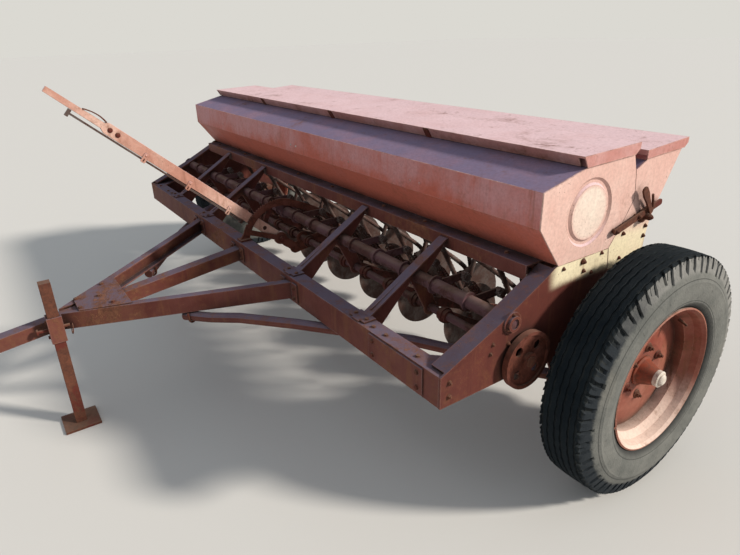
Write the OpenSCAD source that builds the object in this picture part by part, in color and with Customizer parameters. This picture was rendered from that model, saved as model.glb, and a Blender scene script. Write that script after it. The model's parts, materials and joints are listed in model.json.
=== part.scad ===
// Towed grain and fertiliser drill: two long boxes on a channel frame, carried by two end wheels and a
// drawbar, with disc openers on hinged drag bars that a long hand lever lifts.
// Lengths are in millimetres, angles in degrees. X is the width, the drawbar points to -Y and Z is up.
// The modules count Y from the wheels' axle; on_axle() moves them so that the origin is under the middle.

/* [Boxes] */
// Sheet thickness of the boxes and lids
sheet = 4; // [3:0.5:5]
// Height of the boxes' floors
floor_z = 904; // [896:1:912]
// Front face of the grain box
grain_front_y = -433; // [-445:1:-420]
// Height of the grain box's upright front face
grain_face_h = 118; // [90:1:130]
// Height of the top of the grain box's mouth
mouth_z = 1215; // [1205:1:1225]
// Diameter of the ring pressed into each end of the grain box
ring_d = 235; // [180:1:250]

/* [Frame] */
// Front of the front beam
beam_front_y = -826; // [-840:1:-800]
// Height of the front beam's underside
beam_z = 555; // [545:1:562]
// Height of the front beam's section
beam_h = 113; // [100:1:120]
// Depth of the front beam's flanges
beam_depth = 65; // [55:1:75]
// Thickness of the frame's plates
plate = 8; // [6:0.5:9]
// Width of the inward flanges of the end frames
flange_w = 60; // [40:1:70]
// Width of the sloped rails' top flange
rail_w = 45; // [30:1:55]

/* [Wheels] */
// Overall diameter of a tyre
tyre_d = 930; // [910:2:940]
// Width of a tyre across its side walls
tyre_w = 208; // [190:2:220]
// Gap between an end frame and the side wall of its tyre
tyre_gap = 64; // [58:1:80]
// Diameter of the rim flanges
rim_d = 554; // [540:2:570]
// Diameter of the spindles
spindle_d = 38; // [34:1:44]

/* [Drawbar] */
// Distance from the axle to the front of the hitch
hitch_reach = 2080; // [2040:5:2140]
// Height of the middle of the hitch
hitch_z = 452; // [440:1:470]
// Diameter of the hitch pin hole
hitch_hole_d = 28; // [20:1:34]
// Height and width of the middle bar
draw_bar = 60; // [50:1:66]
// Height of the parking stand's top
stand_top = 702; // [660:1:760]
// Side of the parking stand's square leg
stand_w = 45; // [36:1:48]

/* [Openers] */
// Number of rows
row_count = 16; // [12:2:16]
// Distance between rows
row_pitch = 178; // [172:1:180]
// Distance from the outermost row to the outside of the boxes' end
row_margin = 205; // [196:1:230]
// Diameter of the disc blades
disc_d = 342; // [320:1:350]
// Height of the disc blades' centres with the openers raised
disc_z = 340; // [325:1:350]
// Thickness of a drag bar
drag_t = 12; // [10:1:14]

/* [Lift] */
// Diameter of the rockshaft
rock_d = 50; // [44:1:54]
// Length of the rockshaft's arms
arm_len = 140; // [130:1:150]
// Length of the hand lever from its pivot to its tip
lever_len = 1240; // [1000:5:1300]
// Slope of the hand lever with the openers raised
lever_slope = 41.2; // [38:0.2:50]
// Angle through which the lever turns to set the openers down
lever_turn = 40; // [30:1:42]

/* [Hidden] */
seat = 0.3;      // gap between pieces that bear on each other
run = 0.1;       // gap of a shaft in its hole
red = [0.48, 0.22, 0.18];
red_light = [0.63, 0.34, 0.3];
rust = [0.36, 0.2, 0.15];
steel = [0.42, 0.37, 0.34];
rubber = [0.09, 0.09, 0.1];

// Places along X, Y and Z
hopper_half = (row_count - 1) / 2 * row_pitch + row_margin;
tyre_r = tyre_d / 2;
axle_z = tyre_r;
axle_y = (hitch_reach - tyre_r) / 2;
beam_back_y = beam_front_y + beam_depth;
beam_top_z = beam_z + beam_h;
plate_in = hopper_half - plate;
wheel_x = hopper_half + tyre_gap + tyre_w / 2;
rear_beam_y = 235;
rear_beam_depth = 55;
rear_beam_h = 85;
frame_back_y = rear_beam_y + rear_beam_depth;
rail_front_y = -400;
rail_back_y = -290;
rail_depth = 54;
rock = [-530, 762];
gang = [-465, 612];
gang_d = 32;
seat_top = floor_z - seat;
frame_low_z = floor_z - 84;

// Profile of the grain box, from its mouth's front over the floor to its hinge edge, as [y, z]
neck_y = -228;
mouth_y = -235;
seam = [[-55, floor_z], [12, floor_z + 87], [61, floor_z + 161], [43, floor_z + 263]];
seam_gap = 1.5;
grain_floor_y = -324;
lid_front_y = -263;
lid_front_z = mouth_z + 40;
lid_rise = 0.03;
hinge_y = 38;
hinge_r = 8;
function lid_top(y) = lid_front_z + (y - lid_front_y) * lid_rise;
hinge_z = lid_top(hinge_y) - sheet - hinge_r - 0.5;
grain_profile = [
    [neck_y, lid_top(neck_y) - sheet - seat],
    [neck_y, mouth_z + (neck_y - mouth_y) * 0.24],
    [grain_front_y, floor_z + 146 + grain_face_h],
    [grain_front_y, floor_z + 146],
    [grain_floor_y, floor_z],
    [seam[0][0] - seam_gap, seam[0][1]],
    [seam[1][0] - seam_gap, seam[1][1]],
    [seam[2][0] - seam_gap, seam[2][1]],
    [seam[3][0] - seam_gap, seam[3][1]],
    [16, hinge_z - 16]];

// Profile of the fertiliser box in the same order
fert_lid_y = 90;
fert_lid_back_y = 338;
fert_lid_z = mouth_z + 14;
fert_lid_rise = 0.065;
fert_hinge_y = fert_lid_back_y + 6;
function fert_lid_top(y) = fert_lid_z + (y - fert_lid_y) * fert_lid_rise;
fert_hinge_z = fert_lid_top(fert_hinge_y) - sheet - hinge_r - 0.5;
fert_floor = [30, 172];
fert_joins = [2, 3, 5, 6];
fert_profile = [
    [fert_lid_y + 10, fert_lid_top(fert_lid_y + 10) - sheet - seat],
    [fert_lid_y + 10, fert_lid_z - 36],
    [seam[3][0] + seam_gap, seam[3][1]],
    [seam[2][0] + seam_gap, seam[2][1]],
    [seam[1][0] + seam_gap + 4, seam[1][1]],
    [fert_floor[0], floor_z],
    [fert_floor[1], floor_z],
    [184, floor_z + 60],
    [217, floor_z + 124],
    [284, floor_z + 242],
    [322, fert_hinge_z - 20]];

// Rows: every second opener stands further back
function row_x(i) = (i - (row_count - 1) / 2) * row_pitch;
rows = [for (i = [0 : row_count - 1]) i];
boot_y = [-25, 165];
boot_top = 455;
cup_y = -190;
cup_low = floor_z - 108;
fert_cup_y = 112;
fert_cup_low = floor_z - 78;
tube_r = 13;
tube_split = 25;

// Lift linkage: the rods' lower pins, the arm ends and the lever's pivot, as [y, z]
rod_pin = [-190, 495];
arm_rise = 0;
arm_end = rock + arm_len * [cos(arm_rise), sin(arm_rise)];
rod_off = 28;
rod_r = 6;
swivel_w = 26;
swivel_hole_r = 11;
arm_t = 8;
arm_off = rod_off - swivel_w / 2 - seat - arm_t;
crank_len = 110;
crank = crank_len * [-cos(lever_slope), sin(lever_slope)];
lever_pivot = [-590, 634];
lever_t = 12;
link_t = 8;
link_x = -lever_t / 2 - 1 - link_t;
crank_t = 12;
crank_x = link_x - 1 - crank_t;
pin_r = 14;
link_pin_r = 10;

// Sheet folded along a line of points: the outline lies t to the left of the way the points go
function unit(v) = v / norm(v);
function left_of(p, q) = [-unit(q - p)[1], unit(q - p)[0]];
function before(pts, i) = left_of(pts[max(i, 1) - 1], pts[max(i, 1)]);
function after(pts, i) = left_of(pts[min(i, len(pts) - 2)], pts[min(i, len(pts) - 2) + 1]);
function mitre(pts, t, i) =
    pts[i] + t * (before(pts, i) + after(pts, i)) / (1 + before(pts, i) * after(pts, i));
module folded(pts, t) {
    polygon(concat(pts, [for (i = [len(pts) - 1 : -1 : 0]) mitre(pts, t, i)]));
}
// The same as separate panels, which meet at the points numbered in joins
module panels(pts, t, joins) {
    difference() {
        folded(pts, t);
        for (i = joins) strap(mitre(pts, -t, i), mitre(pts, 2 * t, i), seat);
    }
}

// A shape drawn as [y, z] and given a thickness from x0 to x1
module across(x0, x1) {
    translate([x0, 0, 0]) rotate([90, 0, 90]) linear_extrude(x1 - x0) children();
}
// A round bar along X at p = [y, z]
module shaft(p, r, x0, x1) {
    translate([x0, p[0], p[1]]) rotate([0, 90, 0]) cylinder(r = r, h = x1 - x0, $fn = 48);
}
// A flat bar of width w between two [y, z] points
module strap(p, q, w) {
    n = left_of(p, q) * w / 2;
    polygon([p - n, q - n, q + n, p + n]);
}
module disc2d(p, r) {
    translate(p) circle(r = r, $fn = 48);
}
module on_axle(tone) {
    color(tone) translate([0, axle_y, 0]) children();
}
module both_sides(side) {
    if (side > 0) children(); else mirror([1, 0, 0]) children();
}

// Tube swept along a path of [x, y, z] points, with flat ends
function path_dir(p, i) = unit(p[min(i + 1, len(p) - 1)] - p[max(i - 1, 0)]);
function ring_at(p, i, r, n) =
    let (d = path_dir(p, i), s = unit(cross(d, [0.3, 0.1, 0.95])), u = cross(s, d))
    [for (k = [0 : n - 1]) p[i] + r * (cos(k * 360 / n) * s + sin(k * 360 / n) * u)];
module swept(p, r, n) {
    m = len(p);
    polyhedron(
        points = [for (i = [0 : m - 1]) each ring_at(p, i, r, n)],
        faces = concat(
            [[for (k = [n - 1 : -1 : 0]) k]],
            [for (i = [0 : m - 2], k = [0 : n - 1]) each let (a = i * n + k, b = i * n + (k + 1) % n)
                [[a, b, b + n], [a, b + n, a + n]]],
            [[for (k = [0 : n - 1]) (m - 1) * n + k]]));
}
function mix(a, b, t) = a + (b - a) * t;

// The front beam has a three-cornered gusset behind each end of its top flange
gusset = 120;
module front_beam() {
    beam_end = plate_in - seat;
    on_axle(red) {
        across(-beam_end, beam_end)
            folded([[beam_back_y, beam_top_z], [beam_front_y, beam_top_z], [beam_front_y, beam_z],
                [beam_back_y, beam_z]], plate);
        for (s = [-1, 1])
            translate([0, beam_back_y - 1, beam_top_z - plate]) linear_extrude(plate)
                polygon([[s * beam_end, 0], [s * (beam_end - gusset), 0], [s * beam_end, gusset]]);
    }
}

// Top edge of an end frame, from the beam to the boxes
end_edge = [[beam_front_y, beam_top_z], [-576, 776], [-377, 877], [-341, seat_top - 4], [-330, seat_top]];
module end_outline() {
    polygon(concat([[beam_front_y, beam_z]], end_edge,
        [[seam[0][0] - 1, seat_top], [seam[0][0] + 13, frame_low_z - seat],
        [200, frame_low_z - seat], [frame_back_y, beam_z + rear_beam_h + 20], [frame_back_y, beam_z],
        [150, beam_z], [90, axle_z - 65], [-250, axle_z - 65], [-330, beam_z]]));
}
rock_flange_r = 38;
rock_boss_r = 27;
rock_end_r = 18;
module end_frame(side) {
    rise = end_edge[1] - end_edge[0];
    lap_z = plate * norm(rise) / rise[0] + seat;
    edge_y = beam_front_y + lap_z * rise[0] / rise[1];
    edge_z = beam_top_z + lap_z;
    both_sides(side) {
        difference() {
            union() {
                across(plate_in, hopper_half) end_outline();
                across(plate_in - flange_w, plate_in + 1)
                    folded([[edge_y, edge_z], end_edge[1], end_edge[2], end_edge[3]], -plate);
                across(plate_in - flange_w, plate_in + 1)
                    folded([[beam_back_y + 1, beam_z], [-340, beam_z]], plate);
                shaft(rock, rock_flange_r, hopper_half - 1, hopper_half + 6);
                shaft(rock, rock_boss_r, hopper_half - 1, hopper_half + 16);
            }
            shaft(rock, rock_end_r + run, plate_in - 1, hopper_half + 20);
            shaft(gang, gang_d / 2 + run, plate_in - 1, hopper_half + 20);
            shaft([0, axle_z], spindle_d / 2 + run, plate_in - 1, hopper_half + 20);
        }
    }
}
module end_frame_right() { on_axle(red) end_frame(1); }
module end_frame_left() { on_axle(red) end_frame(-1); }

// Four rails climb from the beam to the boxes; a hanger on each carries the rockshaft and the gang shaft
rail_step = round(row_count * 3 / 16) * row_pitch;
rail_x = [for (k = [-2, -1, 1, 2]) k * rail_step];
rail_t = 6;
rail_foot_w = 96;
rail_foot_y = beam_back_y - 9;
rail_top_z = floor_z - 11;
hanger_h = 84;
module rail_line() {
    folded([[beam_front_y + 4, beam_top_z + rail_t + seat], [rail_foot_y, beam_top_z + rail_t + seat],
        [rail_front_y - 8, rail_top_z], [rail_front_y - seat, rail_top_z]], -rail_t);
}
module hanger() {
    top = [beam_back_y + 8, beam_top_z + 22];
    difference() {
        union() {
            polygon([top - [0, hanger_h], top + [44, -hanger_h], rock + [-34, -10], gang + [-30, 0],
                gang + [30, 0], rock + [40, 0], [rail_front_y - 10, rail_top_z - 40],
                [rail_front_y - 10, rail_top_z - 7], top]);
            disc2d(rock, rock_d / 2 + 14);
            disc2d(gang, gang_d / 2 + 16);
        }
        disc2d(rock, rock_d / 2 + run);
        disc2d(gang, gang_d / 2 + run);
    }
}
module sloped_rails() {
    on_axle(red)
        for (x = rail_x) {
            across(x - rail_w / 2, x + rail_w / 2) rail_line();
            across(x - rail_foot_w / 2, x + rail_foot_w / 2)
                polygon([[beam_front_y + 12, beam_top_z + seat], [beam_back_y, beam_top_z + seat],
                    [beam_back_y, beam_top_z + rail_t + seat],
                    [beam_front_y + 12, beam_top_z + rail_t + seat]]);
            across(x - plate / 2, x + plate / 2) hanger();
        }
}
module hopper_rail() {
    rail_end = plate_in - flange_w - seat;
    on_axle(red)
        across(-rail_end, rail_end)
            folded([[rail_back_y, seat_top], [rail_front_y, seat_top],
                [rail_front_y, seat_top - rail_depth]], rail_t);
}
module rear_beam() {
    on_axle(red)
        across(-plate_in + seat, plate_in - seat)
            folded([[rear_beam_y, beam_z], [frame_back_y, beam_z], [frame_back_y, beam_z + rear_beam_h],
                [rear_beam_y, beam_z + rear_beam_h]], plate);
}

// Drawbar: a middle bar and two side bars meet behind the hitch, all falling towards it
draw_start_z = beam_z + 50;
bar_front_y = -hitch_reach + 120;
draw_fall = (draw_start_z - hitch_z) / (beam_front_y - bar_front_y);
function draw_z(y) = draw_start_z + (y - beam_front_y) * draw_fall;
side_bar_reach = 774;
side_bar_y = beam_front_y - side_bar_reach;
side_bar_h = 76;
side_bar_w = 38;
side_bar_t = 7;
module tongue_middle_bar() {
    on_axle(red)
        across(-draw_bar / 2, draw_bar / 2)
            polygon([[beam_front_y - seat, draw_z(beam_front_y) - draw_bar / 2],
                [bar_front_y, hitch_z - draw_bar / 2], [bar_front_y, hitch_z + draw_bar / 2],
                [beam_front_y - seat, draw_z(beam_front_y) + draw_bar / 2]]);
}
far = 2000;
overrun = 80;    // length by which a side bar is drawn too long at each end before it is cut
module side_bar(side) {
    a = [rail_step, beam_front_y, draw_start_z];
    b = [draw_bar / 2, side_bar_y, draw_z(side_bar_y)];
    run_xy = norm([a[0] - b[0], a[1] - b[1]]);
    yaw = atan2(a[0] - b[0], a[1] - b[1]);
    pitch = atan2(a[2] - b[2], run_xy);
    both_sides(side)
        difference() {
            translate(b) rotate([0, 0, -yaw]) rotate([pitch, 0, 0]) translate([0, -overrun, 0])
                rotate([-90, 0, 0]) linear_extrude(run_xy + 2 * overrun)
                    folded([[0, side_bar_h / 2], [side_bar_w, side_bar_h / 2],
                        [side_bar_w, -side_bar_h / 2], [0, -side_bar_h / 2]], -side_bar_t);
            translate([-far / 2, beam_front_y - seat, 0]) cube(far);
            translate([draw_bar / 2 + seat - far, side_bar_y - far / 2, 0]) cube(far);
        }
}
module tongue_bar_right() { on_axle(red) side_bar(1); }
module tongue_bar_left() { on_axle(red) side_bar(-1); }

clevis_t = 14;
clevis_w = 90;
clevis_r = 40;
clevis_block = 30;
pin_y = -hitch_reach + 40;
module hitch_clevis() {
    on_axle(rust)
        difference() {
            union() {
                translate([-draw_bar / 2, bar_front_y - seat - clevis_block,
                    hitch_z - draw_bar / 2 - clevis_t])
                    cube([draw_bar, clevis_block, draw_bar + 2 * clevis_t]);
                for (z = [hitch_z - draw_bar / 2 - clevis_t, hitch_z + draw_bar / 2])
                    translate([0, 0, z]) {
                        translate([-clevis_w / 2, pin_y, 0])
                            cube([clevis_w, bar_front_y - seat - pin_y, clevis_t]);
                        translate([0, pin_y, 0]) cylinder(r = clevis_r, h = clevis_t, $fn = 64);
                    }
            }
            translate([0, pin_y, hitch_z - draw_bar]) cylinder(d = hitch_hole_d, h = 2 * draw_bar, $fn = 48);
        }
}

// Curved pipe braces from under the side bars, below the beam, to feet on the end frames; the shape is
// given as the part of the way from the first to the last point along X and Y, and the drop below brace_z
brace_r = 22;
brace_z = beam_z - brace_r - 3;
brace_foot = [24, 70, 2 * brace_r + 2];
brace_drop = 92;
brace_shape = [[0.09, 0.082, 30], [0.182, 0.173, 14], [0.36, 0.33, 0], [0.541, 0.5, 0], [0.678, 0.639, 6],
    [0.81, 0.785, 36], [0.859, 0.839, 62], [0.923, 0.911, 80]];
brace_reach = 389;
brace_front_y = beam_front_y - brace_reach;
brace_front_x = mix(draw_bar / 2, rail_step, (brace_front_y - side_bar_y) / (beam_front_y - side_bar_y)) + 10;
brace_front = [brace_front_x, brace_front_y, draw_z(brace_front_y) - side_bar_h / 2 - brace_r - 2 * seat];
brace_end = [plate_in - brace_foot[0] + 6, -238, brace_z - brace_drop];
brace_path = concat([brace_front],
    [for (q = brace_shape) [mix(brace_front[0], brace_end[0], q[0]), mix(brace_front[1], brace_end[1], q[1]),
        brace_z - q[2]]], [brace_end]);
module draft_brace(side) {
    both_sides(side) {
        swept(brace_path, brace_r, 12);
        translate([plate_in - seat - brace_foot[0], brace_end[1] - brace_foot[1] / 2,
            brace_end[2] - brace_foot[2] / 2]) cube(brace_foot);
    }
}
module draft_brace_right() { on_axle(red) draft_brace(1); }
module draft_brace_left() { on_axle(red) draft_brace(-1); }

// Parking stand: a square leg slides in a sleeve beside the middle bar; a cross pin through the sleeve
// goes into one of the leg's holes
stand_y = side_bar_y - 100;
stand_pin_r = 8;
stand_pin_step = 50;
stand_pin_holes = 8;
sleeve_t = 7;
sleeve_h = 120;
stand_x = draw_bar / 2 + seat + sleeve_t + seat + stand_w / 2;
shoe_w = 150;
shoe_t = 10;
module stand_pin_hole(z) {
    translate([stand_x, stand_y - stand_w, z]) rotate([-90, 0, 0])
        cylinder(r = stand_pin_r + run, h = 2 * stand_w, $fn = 32);
}
module stand_sleeve() {
    side = stand_w + 2 * (sleeve_t + seat);
    on_axle(red)
        difference() {
            translate([stand_x - side / 2, stand_y - side / 2, draw_z(stand_y) - sleeve_h / 2])
                cube([side, side, sleeve_h]);
            translate([stand_x - stand_w / 2 - seat, stand_y - stand_w / 2 - seat, 0])
                cube([stand_w + 2 * seat, stand_w + 2 * seat, far]);
            stand_pin_hole(draw_z(stand_y));
        }
}
module parking_stand() {
    on_axle(rust)
        difference() {
            union() {
                translate([stand_x - stand_w / 2, stand_y - stand_w / 2, shoe_t - 1])
                    cube([stand_w, stand_w, stand_top - shoe_t + 1]);
                translate([stand_x - shoe_w / 2, stand_y - shoe_w / 2, 0])
                    cube([shoe_w, shoe_w, shoe_t]);
            }
            for (k = [0 : stand_pin_holes - 1]) stand_pin_hole(draw_z(stand_y) - k * stand_pin_step);
        }
}

module grain_box() {
    on_axle(red) {
        across(-hopper_half + sheet + seat, hopper_half - sheet - seat) folded(grain_profile, sheet);
        for (x = hinge_x) box_knuckle(x, [hinge_y, hinge_z], grain_profile[9]);
    }
}
module fertiliser_box() {
    on_axle(red) {
        across(-hopper_half + sheet + seat, hopper_half - sheet - seat)
            panels(fert_profile, sheet, fert_joins);
        for (x = hinge_x) box_knuckle(x, [fert_hinge_y, fert_hinge_z], fert_profile[10]);
    }
}

// Lid hinges: the middle knuckle and its pin are the box's, the outer two are the lid's
hinge_x = [for (f = [-0.84, -0.29, 0.29, 0.84]) f * hopper_half];
knuckle_w = 36;
hinge_pin_r = 4;
module box_knuckle(x, at, wall_top) {
    shaft(at, hinge_r, x - knuckle_w / 2, x + knuckle_w / 2);
    shaft(at, hinge_pin_r, x - 1.4 * knuckle_w, x + 1.4 * knuckle_w);
    across(x - knuckle_w / 2, x + knuckle_w / 2)
        polygon([wall_top, wall_top + [0, -14], at + [-2, -hinge_r + 0.5], at + [-hinge_r + 1, 1]]);
}
module lid_knuckles(at, top) {
    for (x = hinge_x, s = [-1, 1])
        difference() {
            x0 = x + s * (knuckle_w + 1) - knuckle_w / 2;
            union() {
                shaft(at, hinge_r, x0, x0 + knuckle_w);
                across(x0, x0 + knuckle_w)
                    polygon([at + [-hinge_r + 0.5, -1], at + [-hinge_r + 0.5, hinge_r + 1.5],
                        at + [0, hinge_r + 1.5], at + [0, 0]]);
            }
            shaft(at, hinge_pin_r + run, x0 - 1, x0 + knuckle_w + 1);
        }
}
lid_flange = 40;
lid_notch = 28;
lid_over = 2;
module grain_lid() {
    lid_x = hopper_half + lid_over + sheet;
    top = [[lid_front_y + 23, lid_front_z - lid_flange + 2], [lid_front_y, lid_front_z],
        [hinge_y, lid_top(hinge_y)]];
    on_axle(red_light) {
        difference() {
            across(-lid_x, lid_x) folded(top, -sheet);
            for (s = [-1, 1])
                translate([s * (lid_x - lid_notch / 2) - lid_notch / 2, lid_front_y - lid_notch,
                    lid_front_z - 2 * sheet - lid_flange]) cube([lid_notch, 2 * lid_notch, lid_flange]);
        }
        for (x = [-lid_x, lid_x - sheet])
            across(x, x + sheet)
                polygon([top[1], [hinge_y, lid_top(hinge_y)], [hinge_y, lid_top(hinge_y) - 22],
                    [hinge_y - 24, lid_top(hinge_y) - lid_flange], top[0]]);
        lid_knuckles([hinge_y, hinge_z]);
    }
}
module fertiliser_lid() {
    lid_x = hopper_half + lid_over + sheet;
    top = [[fert_lid_y, fert_lid_z - 18], [fert_lid_y, fert_lid_z],
        [fert_hinge_y, fert_lid_top(fert_hinge_y)]];
    on_axle(red_light) {
        across(-lid_x, lid_x) folded(top, -sheet);
        for (x = [-lid_x, lid_x - sheet])
            across(x, x + sheet)
                polygon([top[1], top[2], top[2] + [0, -20], top[2] + [-20, -36], top[1] + [0, -30]]);
        lid_knuckles([fert_hinge_y, fert_hinge_z]);
    }
}

// A ring-shaped groove is pressed into the sheet of each grain box end
ring_at_box = [-193, floor_z + 157];
ring_w = 26;
ring_depth = 7;
module grain_end(side) {
    r = [ring_d / 2, ring_d / 2 - ring_w / 3, ring_d / 2 - 2 * ring_w / 3, ring_d / 2 - ring_w];
    both_sides(side) {
        across(hopper_half - sheet, hopper_half) difference() {
            polygon(grain_profile);
            difference() {
                disc2d(ring_at_box, r[0] - 0.5);
                disc2d(ring_at_box, r[3] + 0.5);
            }
        }
        translate([hopper_half, ring_at_box[0], ring_at_box[1]]) rotate([0, 90, 0])
            rotate_extrude($fn = 48)
                polygon([[r[0], 0], [r[0], -sheet], [r[1], -sheet - ring_depth], [r[2], -sheet - ring_depth],
                    [r[3], -sheet], [r[3], 0], [r[2], -ring_depth], [r[1], -ring_depth]]);
    }
}
module grain_box_end_right() { on_axle(red_light) grain_end(1); }
module grain_box_end_left() { on_axle(red_light) grain_end(-1); }
module fertiliser_end(side) {
    both_sides(side)
        across(hopper_half - sheet, hopper_half)
            polygon(concat([for (i = [0 : 3]) fert_profile[i]],
                [[seam[1][0] + seam_gap, seam[1][1]], [seam[0][0] + seam_gap, floor_z],
                [seam[0][0] + 16, frame_low_z], [165, frame_low_z]],
                [for (i = [6 : 10]) fert_profile[i]]));
}
module fertiliser_box_end_right() { on_axle(red_light) fertiliser_end(1); }
module fertiliser_box_end_left() { on_axle(red_light) fertiliser_end(-1); }

// Feeds under the boxes
cup_w = 56;
feed_r = 9;
feed_z = floor_z - 42;
fert_feed_z = floor_z - 36;
module feed_cups() {
    on_axle(steel)
        for (i = rows)
            across(row_x(i) - cup_w / 2, row_x(i) + cup_w / 2)
                difference() {
                    polygon([[cup_y - 50, seat_top], [cup_y + 50, seat_top], [cup_y + 50, seat_top - 24],
                        [cup_y + 28, cup_low + 26], [cup_y + 18, cup_low], [cup_y - 18, cup_low],
                        [cup_y - 32, cup_low + 26], [cup_y - 50, seat_top - 54]]);
                    disc2d([cup_y, feed_z], feed_r + run);
                }
}
module fertiliser_cups() {
    on_axle(steel)
        for (i = rows)
            across(row_x(i) - cup_w / 2, row_x(i) + cup_w / 2)
                difference() {
                    polygon([[fert_cup_y - 38, seat_top], [fert_cup_y + 38, seat_top],
                        [fert_cup_y + 38, seat_top - 34], [fert_cup_y + 18, fert_cup_low],
                        [fert_cup_y - 18, fert_cup_low], [fert_cup_y - 38, seat_top - 34]]);
                    disc2d([fert_cup_y, fert_feed_z], feed_r + run);
                }
}
module feed_shafts() {
    on_axle(steel) {
        shaft([cup_y, feed_z], feed_r, -plate_in + seat, plate_in - seat);
        shaft([fert_cup_y, fert_feed_z], feed_r, -hopper_half + sheet + seat, hopper_half - sheet - seat);
    }
}
// A ribbon tube falls from a cup's spout, bends and ends in its boot
module drop_tube(x, top, low) {
    a = [x, top[0], top[1] - 2];
    a_low = a - [0, 0, 30];
    d = [x, low[0], low[1]];
    d_up = [x, low[0], boot_top + 24];
    swept([a, a_low, mix(a_low, d_up, 0.3), mix(a_low, d_up, 0.7), d_up, d], tube_r, 8);
}
module seed_tubes() {
    on_axle(steel)
        for (i = rows)
            drop_tube(row_x(i), [cup_y, cup_low], [boot_y[i % 2] - tube_split, boot_top - 25]);
}
module fertiliser_tubes() {
    on_axle(steel)
        for (i = rows)
            drop_tube(row_x(i), [fert_cup_y, fert_cup_low], [boot_y[i % 2] + tube_split, boot_top - 25]);
}

// The gang shaft hangs in the rails' hangers and carries the drag bars; a pierced disc closes each end
disc_in = hopper_half + 16;
cover_r = 105;
cover_rim = 13;
cover_w = 22;
cover_hub_r = 30;
cover_hole_r = 17;
cover_hole_at = 62;
module gang_shaft() {
    on_axle(steel) shaft(gang, gang_d / 2, -disc_in - 24, disc_in + 24);
}
module drive_disc(side) {
    both_sides(side)
        difference() {
            translate([0, gang[0], gang[1]]) rotate([0, 90, 0]) union() {
                translate([0, 0, hopper_half + seat]) cylinder(r = cover_hub_r, h = 38, $fn = 48);
                translate([0, 0, disc_in]) cylinder(r = cover_r - 5, h = 8, $fn = 72);
                translate([0, 0, disc_in - 6]) difference() {
                    cylinder(r = cover_r, h = cover_w, $fn = 72);
                    translate([0, 0, -1]) cylinder(r = cover_r - cover_rim, h = cover_w + 2, $fn = 72);
                }
            }
            shaft(gang, gang_d / 2 + run, hopper_half - 1, disc_in + 60);
            for (a = [45 : 90 : 315])
                shaft(gang + cover_hole_at * [cos(a), sin(a)], cover_hole_r, hopper_half, disc_in + 60);
        }
}
module drive_disc_right() { on_axle(rust) drive_disc(1); }
module drive_disc_left() { on_axle(rust) drive_disc(-1); }

// Stub axles
axle_block = [120, 120, 110];
module axle(side) {
    both_sides(side) {
        shaft([0, axle_z], spindle_d / 2, plate_in - axle_block[0] + 10, wheel_x + hub_out - 14);
        translate([plate_in - axle_block[0], -axle_block[1] / 2, axle_z - axle_block[2] / 2])
            cube([axle_block[0] - seat, axle_block[1], axle_block[2]]);
    }
}
module axle_right() { on_axle(rust) axle(1); }
module axle_left() { on_axle(rust) axle(-1); }

// Wheels: profiles are [radius, distance along the axle from the wheel's middle]
module tyre(side) {
    half = tyre_w / 2;
    bead = rim_d / 2 - 8;
    both_sides(side)
        translate([wheel_x, 0, axle_z]) rotate([0, 90, 0]) rotate_extrude($fn = 96)
            polygon([[bead, -72], [bead + 30, -88], [bead + 65, -half + 2], [bead + 95, -half],
                [bead + 130, -half + 5], [tyre_r - 36, -88], [tyre_r - 12, -80], [tyre_r - 3, -60],
                [tyre_r, -30], [tyre_r, 30], [tyre_r - 3, 60], [tyre_r - 12, 80], [tyre_r - 36, 88],
                [bead + 130, half - 5], [bead + 95, half], [bead + 65, half - 2], [bead + 30, 88],
                [bead, 72]]);
}
hub_r = 58;
hub_out = 78;
hub_cap_r = 31;
hub_cap_w = 16;
ring_split = -162;
module rim(side) {
    r = rim_d / 2;
    both_sides(side) difference() {
        translate([wheel_x, 0, axle_z]) rotate([0, 90, 0]) rotate_extrude($fn = 96)
            polygon([[r - 6, -88], [r, -86], [r, -80], [r - 8.3, -73], [r - 8.3, 73], [r, 80], [r, 86],
                [r - 6, 88], [r - 16, 76], [r - 22, 50], [r - 44, 26], [r - 44, -14], [hub_r + 50, 6],
                [hub_r + seat, 0], [hub_r + seat, -8], [hub_r + 48, -2], [r - 50, -26], [r - 30, -50],
                [r - 18, -76]]);
        // The split of the lock ring
        translate([wheel_x + 90, 0, axle_z]) rotate([ring_split, 0, 0])
            translate([-8, r - 30, -7]) cube([16, 40, 14]);
    }
}
module hub(side) {
    both_sides(side)
        difference() {
            translate([wheel_x, 0, axle_z]) rotate([0, 90, 0]) rotate_extrude($fn = 64)
                polygon([[0, -tyre_w / 2 - tyre_gap + 4], [34, -tyre_w / 2 - tyre_gap + 4], [40, -60],
                    [hub_r, -14], [hub_r, 6], [hub_r - 8, 10], [hub_cap_r - 1, hub_out - hub_cap_w - 1],
                    [hub_cap_r, hub_out - hub_cap_w], [hub_cap_r, hub_out - 2], [hub_cap_r - 4, hub_out],
                    [0, hub_out]]);
            shaft([0, axle_z], spindle_d / 2 + run, hopper_half, wheel_x + hub_out - 12);
        }
}
module tyre_right() { on_axle(rubber) tyre(1); }
module tyre_left() { on_axle(rubber) tyre(-1); }
module rim_right() { on_axle(red_light) rim(1); }
module rim_left() { on_axle(red_light) rim(-1); }
module hub_right() { on_axle(rust) hub(1); }
module hub_left() { on_axle(rust) hub(-1); }

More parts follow.
